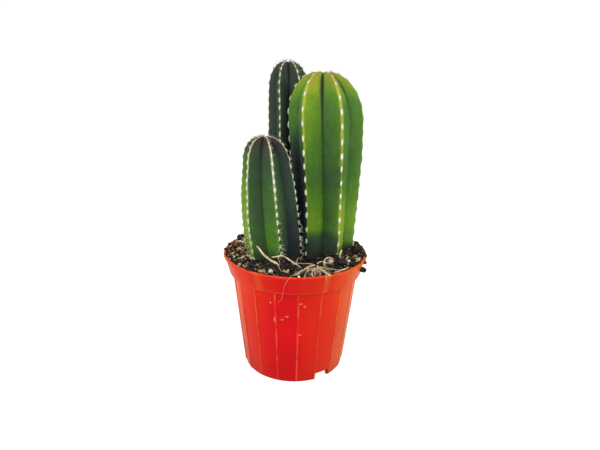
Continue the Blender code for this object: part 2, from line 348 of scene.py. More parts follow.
def mesh_from(name: str, skin: Skin) -> bpy.types.Mesh:
    """A smooth-shaded mesh in metres from a skin, with the skin's marks as attributes."""
    mesh = bpy.data.meshes.new(name)
    corners = np.concatenate([skin.quads.ravel(), skin.triangles.ravel()]).astype(np.int32)
    sizes = np.concatenate([np.full(len(skin.quads), 4), np.full(len(skin.triangles), 3)])
    mesh.vertices.add(len(skin.points))
    mesh.vertices.foreach_set("co", (skin.points * MM).astype(np.float32).ravel())
    mesh.loops.add(len(corners))
    mesh.loops.foreach_set("vertex_index", corners)
    mesh.polygons.add(len(sizes))
    starts = np.concatenate([[0], np.cumsum(sizes)[:-1]]).astype(np.int32)
    mesh.polygons.foreach_set("loop_start", starts)
    mesh.update(calc_edges=True)
    for mark, values in skin.marks.items():
        layer = mesh.attributes.new(mark, "FLOAT", "POINT")
        layer.data.foreach_set("value", values.astype(np.float32))
    mesh.shade_smooth()
    return mesh


def put(
    name: str,
    skin: Skin,
    material: Material,
    nodes: tuple[str, ...] = (),
) -> bpy.types.Object:
    """Adds a piece to the scene on the root body, and hides the frame's solids that it stands for.

    Args:
        name: The piece's name.
        skin: Its surface.
        material: Its finish.
        nodes: The frame's solids that it stands for.

    Returns:
        The new object.
    """
    mesh = mesh_from(name, skin)
    mesh.materials.append(material)
    piece = linked(name, mesh)
    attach(piece, ROOT_BODY)
    if nodes:
        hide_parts(*nodes)
    LOG.info("%s: %d faces", name, len(mesh.polygons))
    return piece


# ---- shader nodes


class NodeBench:
    """Adds nodes to one tree and joins them."""

    def __init__(self, tree: bpy.types.NodeTree) -> None:
        """Works on this tree."""
        self.tree = tree

    def add(self, kind: str, inputs: dict | None = None, **settings: object) -> bpy.types.Node:
        """A new node with its settings, and its inputs set or linked."""
        node = self.tree.nodes.new(kind)
        for name, value in settings.items():
            setattr(node, name, value)
        for name, value in (inputs or {}).items():
            self.feed(node.inputs[name], value)
        return node

    def feed(self, socket: Socket, value: object) -> None:
        """Links a socket into this one, or sets it to a value."""
        if isinstance(value, Socket):
            self.tree.links.new(value, socket)
        else:
            socket.default_value = value

    def fill(self, node: bpy.types.Node, **values: object) -> None:
        """Links or sets several inputs of a node, with _ for each space in their names."""
        for name, value in values.items():
            self.feed(node.inputs[name.replace("_", " ")], value)

    def place(self) -> Socket:
        """Object coordinates, in metres."""
        return self.add("ShaderNodeTexCoord").outputs["Object"]

    def mark(self, name: str) -> Socket:
        """A value that the mesh holds on its points."""
        return self.add("ShaderNodeAttribute", attribute_name=name).outputs["Fac"]

    def noise(
        self, scale: object, detail: float = 3.0, vector: object = None, distortion: float = 0.0
    ) -> Socket:
        """Noise about 0.5, at a number of cells for each metre."""
        inputs = {"Scale": scale, "Detail": detail, "Distortion": distortion}
        inputs["Vector"] = self.place() if vector is None else vector
        return self.add("ShaderNodeTexNoise", inputs).outputs["Fac"]

    def math(self, operation: str, *values: object) -> Socket:
        """A Math node's result."""
        inputs = dict(enumerate(values))
        return self.add("ShaderNodeMath", inputs, operation=operation).outputs[0]

    def vector(self, operation: str, *values: object) -> bpy.types.Node:
        """A Vector Math node on these values."""
        return self.add("ShaderNodeVectorMath", dict(enumerate(values)), operation=operation)

    def times(self, first: object, second: object) -> Socket:
        """The product of two values."""
        return self.math("MULTIPLY", first, second)

    def plus(self, first: object, second: object) -> Socket:
        """The sum of two values."""
        return self.math("ADD", first, second)

    def minus(self, first: object, second: object) -> Socket:
        """The first value less the second."""
        return self.math("SUBTRACT", first, second)

    def highest(self, first: object, second: object) -> Socket:
        """The greater of two values."""
        return self.math("MAXIMUM", first, second)

    def near(self, value: object, middle: object) -> Socket:
        """How far a value is from a middle, either way."""
        return self.math("ABSOLUTE", self.minus(value, middle))

    def vary(self, scale: float, detail: float, amount: float, middle: float) -> Socket:
        """Noise less its middle, times an amount."""
        return self.times(self.minus(self.noise(scale, detail), middle), amount)

    def step(
        self, value: object, low: object, high: object, start: object = 0.0, end: object = 1.0
    ) -> Socket:
        """The value eased from start at low to end at high."""
        inputs = {"Value": value, "From Min": low, "From Max": high, "To Min": start, "To Max": end}
        node = self.add("ShaderNodeMapRange", inputs, interpolation_type="SMOOTHSTEP")
        return node.outputs["Result"]

    def blend(
        self, share: object, first: object, second: object, kind: str = "MIX"
    ) -> Socket:
        """Two colours mixed, or multiplied, by a share."""
        node = self.add("ShaderNodeMix", data_type="RGBA", blend_type=kind)
        for index, value in ((0, share), (6, first), (7, second)):
            self.feed(node.inputs[index], value)
        return node.outputs[2]

    def tint(self, colour: object, added: Colour, mask: object, share: object) -> Socket:
        """A colour with another laid over it, by a mask times a share."""
        return self.blend(self.times(mask, share), colour, added)

    def ramp(self, value: object, stops: tuple[tuple[float, Colour], ...]) -> Socket:
        """A colour read off a ramp of stops."""
        node = self.add("ShaderNodeValToRGB", {"Fac": value})
        elements = node.color_ramp.elements
        for index, (place, colour) in enumerate(stops):
            element = elements[index] if index < 2 else elements.new(place)
            element.position = place
            element.color = colour
        return node.outputs["Color"]

    def group(self, kind: "Effect", **inputs: object) -> Socket:
        """The first output of a shared effect, placed with its own values."""
        node = self.add("ShaderNodeGroup", node_tree=kind.tree())
        self.fill(node, **inputs)
        return node.outputs[0]


class Effect(Enum):
    """Effects that several finishes share, each one shader node group."""

    GRAIN = "grain"
    MOTTLE = "mottle"
    SPECKLE = "speckle"
    DUST = "dust"

    def tree(self) -> bpy.types.NodeTree:
        """The effect's node group, which is built the first time."""
        return bpy.data.node_groups.get(self.value) or getattr(self, f"_build_{self.value}")()

    def _begin(
        self, output: tuple[str, str], **inputs: float | Colour
    ) -> tuple[bpy.types.NodeTree, NodeBench, dict, Socket]:
        """Makes the group with its named sockets.

        Args:
            output: Name and type of the one output.
            inputs: Usual value of each input, a number or a colour.

        Returns:
            The tree, a bench on it, the inputs inside it by name, and the output's inner socket.
        """
        tree = bpy.data.node_groups.new(self.value, "ShaderNodeTree")
        tree.interface.new_socket(output[0], in_out="OUTPUT", socket_type=output[1])
        for name, usual in inputs.items():
            kind = "NodeSocketFloat" if isinstance(usual, float) else "NodeSocketColor"
            socket = tree.interface.new_socket(name, in_out="INPUT", socket_type=kind)
            socket.default_value = usual
        bench = NodeBench(tree)
        given = bench.add("NodeGroupInput")
        result = bench.add("NodeGroupOutput")
        return tree, bench, {name: given.outputs[name] for name in inputs}, result.inputs[0]

    def _build_grain(self) -> bpy.types.NodeTree:
        """A bumped normal: fine noise over coarse noise."""
        tree, bench, given, result = self._begin(
            ("Normal", "NodeSocketVector"), Scale=900.0, Height=0.0001, Extra=0.5
        )
        fine = bench.noise(given["Scale"], 4.0)
        coarse = bench.noise(bench.times(given["Scale"], 0.23), 2.0)
        height = bench.plus(bench.plus(fine, coarse), given["Extra"])
        bump = bench.add("ShaderNodeBump", {"Height": height, "Distance": given["Height"]})
        bench.feed(result, bump.outputs["Normal"])
        return tree

    def _build_mottle(self) -> bpy.types.NodeTree:
        """A colour made lighter and darker in soft patches."""
        tree, bench, given, result = self._begin(
            ("Colour", "NodeSocketColor"), Colour=(0.5, 0.5, 0.5, 1.0), Scale=100.0, Amount=0.3
        )
        patch = bench.step(bench.noise(given["Scale"], 4.0, distortion=0.4), 0.3, 0.7, -1.0, 1.0)
        value = bench.plus(1.0, bench.times(patch, given["Amount"]))
        varied = bench.add("ShaderNodeHueSaturation", {"Value": value, "Color": given["Colour"]})
        bench.feed(result, varied.outputs["Color"])
        return tree

    def _build_speckle(self) -> bpy.types.NodeTree:
        """A mask of small separate spots: the middles of cells, kept where a noise is high."""
        tree, bench, given, result = self._begin(
            ("Mask", "NodeSocketFloat"), Scale=900.0, Share=0.5
        )
        cells = bench.add(
            "ShaderNodeTexVoronoi", {"Vector": bench.place(), "Scale": given["Scale"]}
        )
        spot = bench.step(cells.outputs["Distance"], 0.32, 0.12)
        kept = bench.add("ShaderNodeSeparateColor", {"Color": cells.outputs["Color"]})
        chosen = bench.math("LESS_THAN", kept.outputs[0], given["Share"])
        bench.feed(result, bench.times(spot, chosen))
        return tree

    def _build_dust(self) -> bpy.types.NodeTree:
        """A mask of dust and splashes that thins out above a level."""
        tree, bench, given, result = self._begin(
            ("Mask", "NodeSocketFloat"), Level=0.085, Reach=0.012, Scale=500.0
        )
        height = bench.add("ShaderNodeSeparateXYZ", {"Vector": bench.place()}).outputs["Z"]
        top = bench.plus(given["Level"], given["Reach"])
        low = bench.step(height, given["Level"], top, 1.0, 0.0)
        flecks = bench.step(bench.noise(given["Scale"], 5.0), 0.42, 0.62)
        bench.feed(result, bench.times(low, flecks))
        return tree


@dataclass(frozen=True)
class Finish:
    """A material. Subclasses say how its nodes are joined.

    Attributes:
        name: The material's name.
    """

    name: str

    def material(self) -> Material:
        """The finished material."""
        made = bpy.data.materials.new(self.name)
        made.use_nodes = True
        bench = NodeBench(made.node_tree)
        shader = made.node_tree.nodes["Principled BSDF"]
        self.dress(bench, shader)
        return made

    def dress(self, bench: NodeBench, shader: bpy.types.Node) -> None:
        """Joins this finish's nodes to the shader."""
        raise NotImplementedError


@dataclass(frozen=True)
class PotPlastic(Finish):
    """Glossy moulded red polypropylene with side light painted in: red at the front, orange round
    the sides.

    Its ribs, its band's edge and its lip carry painted highlights, the band has painted highlight
    streaks and painted shade under its edge, each panel has its own tint, and it has scuffs and a
    little dust.
    """

    crimson: Colour = srgb(240, 14, 22)
    # vermilion and orange are the red as painted under the side lights
    vermilion: Colour = srgb(242, 52, 14)
    orange: Colour = srgb(246, 100, 14)
    # painted highlight on the rib crests, the band's edge and the lip
    highlight_pink: Colour = srgb(255, 124, 66)
    scuff: Colour = srgb(255, 176, 140)
    # painted shade under the band's edge
    shade: Colour = srgb(150, 8, 10)
    dust: Colour = srgb(120, 78, 52)
    lip: float = 86.0
    scuff_base: float = 36.8
    streaks: tuple[Triple, ...] = (
        # painted highlight streaks on the band: angle, half width in degrees and strength
        (25.0, 4.0, 0.6),
        (-28.0, 6.0, 0.4),
        (118.0, 5.0, 0.4),
        (-141.0, 6.0, 0.4),
    )
    scuffs: tuple[tuple[float, float, float, float], ...] = (
        # angle, height, half width and half height of each scuffed patch
        (-20.5, 64.3, 1.0, 2.0),
        (-17.6, 51.5, 0.7, 5.0),
        (-10.0, 52.0, 2.6, 0.8),
        (-6.0, 54.7, 2.2, 1.2),
        (6.0, 40.2, 3.2, 0.9),
        (6.0, 65.0, 2.4, 1.5),
        (9.5, 62.7, 1.6, 1.6),
        (6.5, 73.4, 1.3, 0.8),
        (152.0, 52.0, 3.2, 1.0),
        (-118.0, 33.0, 2.0, 1.2),
        (95.0, 62.0, 1.0, 2.6),
    )

    def dress(self, bench: NodeBench, shader: bpy.types.Node) -> None:
        """Painted side light from red to orange, panel tints, painted highlights and shade, scuffs,
        dust and a fine skin.
        """
        place = bench.place()
        axis = bench.add("ShaderNodeSeparateXYZ", {"Vector": place})
        front = bench.times(axis.outputs["Y"], -1.0)
        angle = bench.math("ARCTAN2", axis.outputs["X"], front)
        from_rib = bench.minus(angle, math.radians(FIRST_RIB_DEG))
        turned = bench.math("DIVIDE", from_rib, math.radians(PANEL_DEG))
        height = bench.times(axis.outputs["Z"], 1.0 / MM)
        # Painted side light: the farther a side turns from the front, the more orange it is
        # painted, and the back turns redder again.
        side = bench.math("ABSOLUTE", bench.plus(angle, 0.14))
        number = {"W": bench.math("FLOOR", turned)}
        tint = bench.add("ShaderNodeTexWhiteNoise", number, noise_dimensions="1D")
        tint = bench.times(bench.minus(tint.outputs["Value"], 0.5), 0.16)
        drift = bench.vary(26.0, 3.0, 0.5, 0.5)
        side = bench.plus(side, bench.plus(tint, drift))
        # Painted light: the wall is painted a little more orange towards the top.
        glow = bench.step(height, 30.0, 86.0, 0.0, 0.12)
        stops = ((0.12, self.crimson), (0.5, self.vermilion), (0.85, self.orange))
        share = bench.math("DIVIDE", side, 1.6)
        behind = bench.times(bench.step(side, 1.3, 2.3), bench.minus(share, 0.3))
        share = bench.plus(bench.minus(share, behind), glow)
        colour = bench.ramp(share, stops)
        colour = bench.group(Effect.MOTTLE, Colour=colour, Scale=38.0, Amount=0.06)
        low = bench.step(height, 0.0, 55.0, 0.84, 1.0)
        colour = bench.blend(1.0, colour, self._grey(bench, low), "MULTIPLY")
        # Painted shade under the band: a soft darkening of the wall below its edge and a thin dark
        # line just under it.
        under = bench.step(height, BAND_BOTTOM - 3.4, BAND_BOTTOM - 0.6, 0.0, 0.42)
        wall = bench.math("LESS_THAN", height, BAND_BOTTOM - 0.1)
        line = bench.step(height, BAND_BOTTOM - 1.5, BAND_BOTTOM - 0.4, 0.0, 0.65)
        under = bench.highest(under, line)
        colour = bench.tint(colour, self.shade, under, wall)
        # Painted highlight streaks on the band.
        colour = bench.blend(self._painted_highlight_streaks(bench, angle, wall), colour, self.orange)
        # Painted highlights on the rib crests, the band's edge and the lip.
        colour = bench.blend(self._painted_highlights(bench, turned, height, wall), colour, self.highlight_pink)
        worn = self._scuffed(bench, place)
        scratches = bench.group(Effect.SPECKLE, Scale=520.0, Share=0.02)
        worn = bench.highest(worn, bench.times(scratches, 0.1))
        colour = bench.blend(worn, colour, self.scuff)
        dusty = bench.group(Effect.DUST, Level=0.0, Reach=0.006, Scale=700.0)
        colour = bench.tint(colour, self.dust, dusty, 0.25)
        gloss = bench.plus(0.16, bench.times(bench.noise(160.0, 4.0), 0.14))
        gloss = bench.plus(gloss, bench.times(worn, 0.35))
        normal = bench.group(Effect.GRAIN, Scale=650.0, Height=0.00005, Extra=worn)
        bench.fill(shader, Base_Color=colour, Roughness=gloss, Normal=normal)
        bench.fill(shader, Specular_IOR_Level=0.12, Subsurface_Weight=0.05)
        bench.fill(shader, Subsurface_Radius=(1.0, 0.12, 0.06), Subsurface_Scale=0.003)

    def _painted_highlights(
        self,
        bench: NodeBench,
        turned: Socket,
        height: Socket,
        wall: Socket,
    ) -> Socket:
        """A mask of painted highlights on the rib crests, the band's edge and the lip, in patches.
        """
        off = bench.near(bench.math("FRACT", bench.plus(turned, 0.5)), 0.5)
        rib = bench.times(bench.step(off, 0.042, 0.02, 0.0, 0.55), wall)
        edge = bench.step(bench.near(height, BAND_BOTTOM + 0.5), 0.9, 0.3, 0.0, 0.2)
        lip = bench.step(height, self.lip, self.lip + 0.8, 0.0, 0.5)
        patchy = bench.step(bench.noise(90.0, 5.0), 0.36, 0.62, 0.12, 1.0)
        return bench.times(bench.highest(bench.highest(rib, edge), lip), patchy)

    def _painted_highlight_streaks(
        self, bench: NodeBench, angle: Socket, wall: Socket
    ) -> Socket:
        """A mask of painted highlight streaks, upright on the band."""
        mask: Socket | float = 0.0
        for middle_deg, half_deg, share in self.streaks:
            off = bench.near(angle, math.radians(middle_deg))
            streak = bench.step(off, math.radians(half_deg), 0.0, 0.0, share)
            mask = bench.highest(mask, streak)
        return bench.times(mask, bench.minus(1.0, wall))

    @staticmethod
    def _grey(bench: NodeBench, value: Socket) -> Socket:
        """A grey colour of this value."""
        inputs = {"Red": value, "Green": value, "Blue": value}
        return bench.add("ShaderNodeCombineColor", inputs).outputs["Color"]

    def _scuffed(self, bench: NodeBench, place: Socket) -> Socket:
        """A mask that is high inside any scuffed patch, with ragged edges.

        A patch's distance is the length of the offset from its middle, in half widths across and
        half heights up.
        """
        nearest: Socket | float = 10.0
        for angle, height, half_width, half_height in self.scuffs:
            radius = self.scuff_base + (WALL_TOP - self.scuff_base) * height / BAND_BOTTOM
            middle = around(np.array(radius), np.array(angle), np.array(height)) * MM
            away = bench.vector("SUBTRACT", place, tuple(middle)).outputs["Vector"]
            stretch = np.array([1 / half_width, 1 / half_width, 1 / half_height]) / MM
            scaled = bench.vector("MULTIPLY", away, tuple(stretch)).outputs["Vector"]
            length = bench.vector("LENGTH", scaled).outputs["Value"]
            nearest = bench.math("MINIMUM", nearest, length)
        ragged = bench.plus(nearest, bench.times(bench.noise(1700.0, 4.0), 1.8))
        return bench.step(ragged, 1.45, 1.1)


@dataclass(frozen=True)
class CactusSkin(Finish):
    """Waxy green skin whose mark "tone" runs from 0, deep blue-green, to 1, yellow-green; the tone
    carries painted light and shade.

    Attributes:
        line: Colour of the felted line along the crests.
        line_share: How strongly that line shows at the crown.
        line_low: How strongly it shows lower down.
        line_from: Skin tone below which it fades out.
        crown: Colour that the youngest skin is tinted with.
        crown_share: How strongly it is.
    """

    line: Colour = srgb(196, 204, 84)
    line_share: float = 0.8
    line_low: float = 0.45
    line_from: float = 0.35
    crown: Colour = srgb(150, 140, 70)
    crown_share: float = 0.2
    deep: Colour = srgb(52, 58, 64)
    dark: Colour = srgb(54, 86, 48)
    middle: Colour = srgb(78, 126, 36)
    light: Colour = srgb(122, 162, 34)
    glow: Colour = srgb(168, 180, 40)
    # painted shade in the valleys
    valley_shade: Colour = srgb(26, 36, 42)
    ridge: Colour = srgb(168, 122, 52)
    bloom: Colour = srgb(132, 168, 120)
    dust: Colour = srgb(70, 52, 38)

    def dress(self, bench: NodeBench, shader: bpy.types.Node) -> None:
        """Painted light and shade by tone, painted shade in the valleys, crest line, bloom, pores
        and dust, with a fine bumped skin.
        """
        crest, rise = bench.mark("crest"), bench.mark("rise")
        # The tone carries painted light and shade of each flank.
        tone = bench.plus(bench.mark("tone"), bench.vary(75.0, 4.0, 0.3, 0.5))
        stops = (
            (0.0, self.deep),
            (0.3, self.dark),
            (0.55, self.middle),
            (0.8, self.light),
            (1.0, self.glow),
        )
        colour = bench.ramp(tone, stops)
        young = bench.times(bench.step(rise, 0.82, 1.0), self.crown_share)
        colour = bench.blend(young, colour, self.crown)
        # Painted shade in the valleys.
        colour = bench.blend(bench.mark("valley_shade"), colour, self.valley_shade)
        tips = bench.times(bench.step(rise, 0.9, 1.0), bench.step(crest, 0.5, 1.0))
        colour = bench.tint(colour, self.ridge, tips, 0.75)
        colour = bench.group(Effect.MOTTLE, Colour=colour, Scale=420.0, Amount=0.08)
        wax = bench.step(bench.noise(60.0, 5.0, distortion=0.6), 0.5, 0.78)
        colour = bench.tint(colour, self.bloom, wax, 0.05)
        pores = bench.group(Effect.SPECKLE, Scale=1500.0, Share=0.55)
        colour = bench.tint(colour, self.bloom, pores, 0.07)
        edge = bench.plus(crest, bench.times(bench.noise(900.0, 3.0), 0.02))
        felted = bench.step(edge, 0.965, 1.0)
        strength = bench.step(rise, 0.3, 0.9, self.line_low, self.line_share)
        line = bench.times(felted, strength)
        line = bench.times(line, bench.step(tone, self.line_from, self.line_from + 0.3))
        colour = bench.blend(line, colour, self.line)
        dusty = bench.group(Effect.DUST, Level=0.086, Reach=0.011, Scale=620.0)
        colour = bench.tint(colour, self.dust, dusty, 0.55)
        rough = bench.plus(0.36, bench.times(bench.noise(300.0, 4.0), 0.2))
        rough = bench.plus(rough, bench.times(line, 0.3))
        normal = bench.group(Effect.GRAIN, Scale=1100.0, Height=0.0001, Extra=pores)
        bench.fill(shader, Base_Color=colour, Roughness=rough, Normal=normal)
        bench.fill(shader, Specular_IOR_Level=0.14, Subsurface_Weight=0.08)
        bench.fill(shader, Subsurface_Radius=(0.35, 1.0, 0.2), Subsurface_Scale=0.003)


@dataclass(frozen=True)
class AreoleFelt(Finish):
    """Cream wool of the areoles, greyer on the older ones."""

    young: Colour = srgb(255, 253, 238)
    old: Colour = srgb(255, 252, 236)
    shade: Colour = srgb(214, 202, 160)

    def dress(self, bench: NodeBench, shader: bpy.types.Node) -> None:
        """Cream by age, darker between the fibres, with a soft sheen and a faint painted glow."""
        colour = bench.blend(bench.step(bench.mark("rise"), 0.05, 0.7), self.old, self.young)
        fibres = bench.noise(5200.0, 3.0, distortion=1.2)
        colour = bench.blend(bench.step(fibres, 0.42, 0.3, 0.0, 0.4), colour, self.shade)
        rough = bench.step(fibres, 0.3, 0.7, 0.95, 0.75)
        normal = bench.group(Effect.GRAIN, Scale=4200.0, Height=0.0002, Extra=fibres)
        bench.fill(shader, Base_Color=colour, Roughness=rough, Normal=normal)
        bench.fill(shader, Sheen_Weight=0.4, Sheen_Roughness=0.5)
        # Painted glow: the wool emits a little light of its own.
        bench.fill(shader, Emission_Color=self.young, Emission_Strength=0.12)


@dataclass(frozen=True)
class SpineHorn(Finish):
    """Pale horn of the spines, reddish on the new ones at the crown."""

    base: Colour = srgb(214, 196, 150)
    tip: Colour = srgb(252, 248, 230)
    fresh: Colour = srgb(140, 66, 36)

    def dress(self, bench: NodeBench, shader: bpy.types.Node) -> None:
        """Straw at the base to cream at the tip, mixed with red-brown by freshness."""
        colour = bench.blend(bench.step(bench.mark("along"), 0.0, 0.7), self.base, self.tip)
        colour = bench.blend(bench.mark("fresh"), colour, self.fresh)
        colour = bench.group(Effect.MOTTLE, Colour=colour, Scale=900.0, Amount=0.15)
        rough = bench.step(bench.mark("along"), 0.0, 1.0, 0.6, 0.35)
        normal = bench.group(Effect.GRAIN, Scale=5000.0, Height=0.00004, Extra=0.0)
        bench.fill(shader, Base_Color=colour, Roughness=rough, Normal=normal)
        bench.fill(shader, Subsurface_Weight=0.1, Subsurface_Scale=0.0006)


@dataclass(frozen=True)
class PeatMix(Finish):
    """Dark potting mix: black peat with brown, tan and pale flecks.

    The mark "tone" runs from 0, wet black peat, to 1, pale dry bits.
    """

    black: Colour = srgb(19, 17, 18)
    brown: Colour = srgb(62, 42, 30)
    rust: Colour = srgb(150, 90, 48)
    tan: Colour = srgb(236, 202, 146)
    pale: Colour = srgb(255, 246, 222)

    def dress(self, bench: NodeBench, shader: bpy.types.Node) -> None:
        """Colour by tone, varied by noise, with flecks and a rough crumbly skin."""
        tone = bench.plus(bench.mark("tone"), bench.vary(420.0, 6.0, 0.36, 0.55))
        stops = (
            (0.0, self.black),
            (0.38, self.brown),
            (0.62, self.rust),
            (0.82, self.tan),
            (1.0, self.pale),
        )
        colour = bench.ramp(tone, stops)
        flecks = bench.group(Effect.SPECKLE, Scale=900.0, Share=0.07)
        colour = bench.tint(colour, self.tan, flecks, 0.7)
        colour = bench.group(Effect.MOTTLE, Colour=colour, Scale=160.0, Amount=0.3)
        rough = bench.step(bench.noise(250.0, 3.0), 0.3, 0.6, 0.55, 0.95)
        normal = bench.group(Effect.GRAIN, Scale=2200.0, Height=0.0005, Extra=flecks)
        bench.fill(shader, Base_Color=colour, Roughness=rough, Normal=normal)


@dataclass(frozen=True)
class DryFibre(Finish):
    """Dry root or bark: streaked along the piece by stretched noise.

    Attributes:
        light: Colour of the raised fibres.
        dark: Colour between them.
        stain: Colour of dirty patches.
    """

    light: Colour
    dark: Colour
    stain: Colour
    scale: float = 1400.0
    bump: float = 0.00015

    def dress(self, bench: NodeBench, shader: bpy.types.Node) -> None:
        """Two tones of fibre, dirty patches and a fibrous bump."""
        streaks = bench.noise(self.scale, 4.0, distortion=1.5)
        colour = bench.blend(bench.step(streaks, 0.35, 0.62), self.dark, self.light)
        dirt = bench.step(bench.noise(self.scale * 0.22, 4.0), 0.5, 0.72)
        colour = bench.tint(colour, self.stain, dirt, 0.7)
        colour = bench.group(Effect.MOTTLE, Colour=colour, Scale=self.scale * 0.4, Amount=0.18)
        rough = bench.step(streaks, 0.3, 0.7, 0.95, 0.7)
        normal = bench.group(Effect.GRAIN, Scale=self.scale * 1.6, Height=self.bump, Extra=streaks)
        bench.fill(shader, Base_Color=colour, Roughness=rough, Normal=normal)


@dataclass(frozen=True)
class PerliteFoam(Finish):
    """White volcanic foam with grey pits."""

    white: Colour = srgb(236, 234, 226)
    pit: Colour = srgb(140, 132, 118)

    def dress(self, bench: NodeBench, shader: bpy.types.Node) -> None:
        """White, darkened in small round pits, with a pitted bump."""
        pits = bench.group(Effect.SPECKLE, Scale=2600.0, Share=0.6)
        colour = bench.tint(self.white, self.pit, pits, 0.6)
        colour = bench.group(Effect.MOTTLE, Colour=colour, Scale=700.0, Amount=0.12)
        rough = bench.step(pits, 0.0, 1.0, 0.8, 0.95)
        hollow = bench.times(pits, -1.0)
        normal = bench.group(Effect.GRAIN, Scale=1900.0, Height=0.0003, Extra=hollow)
        bench.fill(shader, Base_Color=colour, Roughness=rough, Normal=normal)


@dataclass(frozen=True)
class PaleFloor(Finish):
    """Plain white paper sweep that stays white far away, with a faint shadow by the pot."""

    white: Colour = srgb(200, 200, 200)
    near: float = 0.86
    far: float = 1.0

    def dress(self, bench: NodeBench, shader: bpy.types.Node) -> None:
        """A matt white that glows a little to look at, and less as a light or in reflections."""
        tone = bench.step(bench.noise(8.0, 2.0), 0.3, 0.7, 0.0, 1.0)
        colour = bench.blend(tone, self.white, srgb(197, 197, 197))
        bench.fill(shader, Base_Color=colour, Roughness=1.0, Specular_IOR_Level=0.0)
        bench.fill(shader, Emission_Color=(1.0, 1.0, 1.0, 1.0))
        away = bench.vector("LENGTH", bench.place())
        glow = bench.step(away.outputs["Value"], 0.08, 0.6, self.near, self.far)
        rays = bench.add("ShaderNodeLightPath").outputs
        seen = bench.times(rays["Is Camera Ray"], glow)
        mirrored = bench.times(rays["Is Glossy Ray"], 0.3)
        glow = bench.highest(bench.highest(seen, mirrored), 0.1)
        bench.feed(shader.inputs["Emission Strength"], glow)


# ---- pot


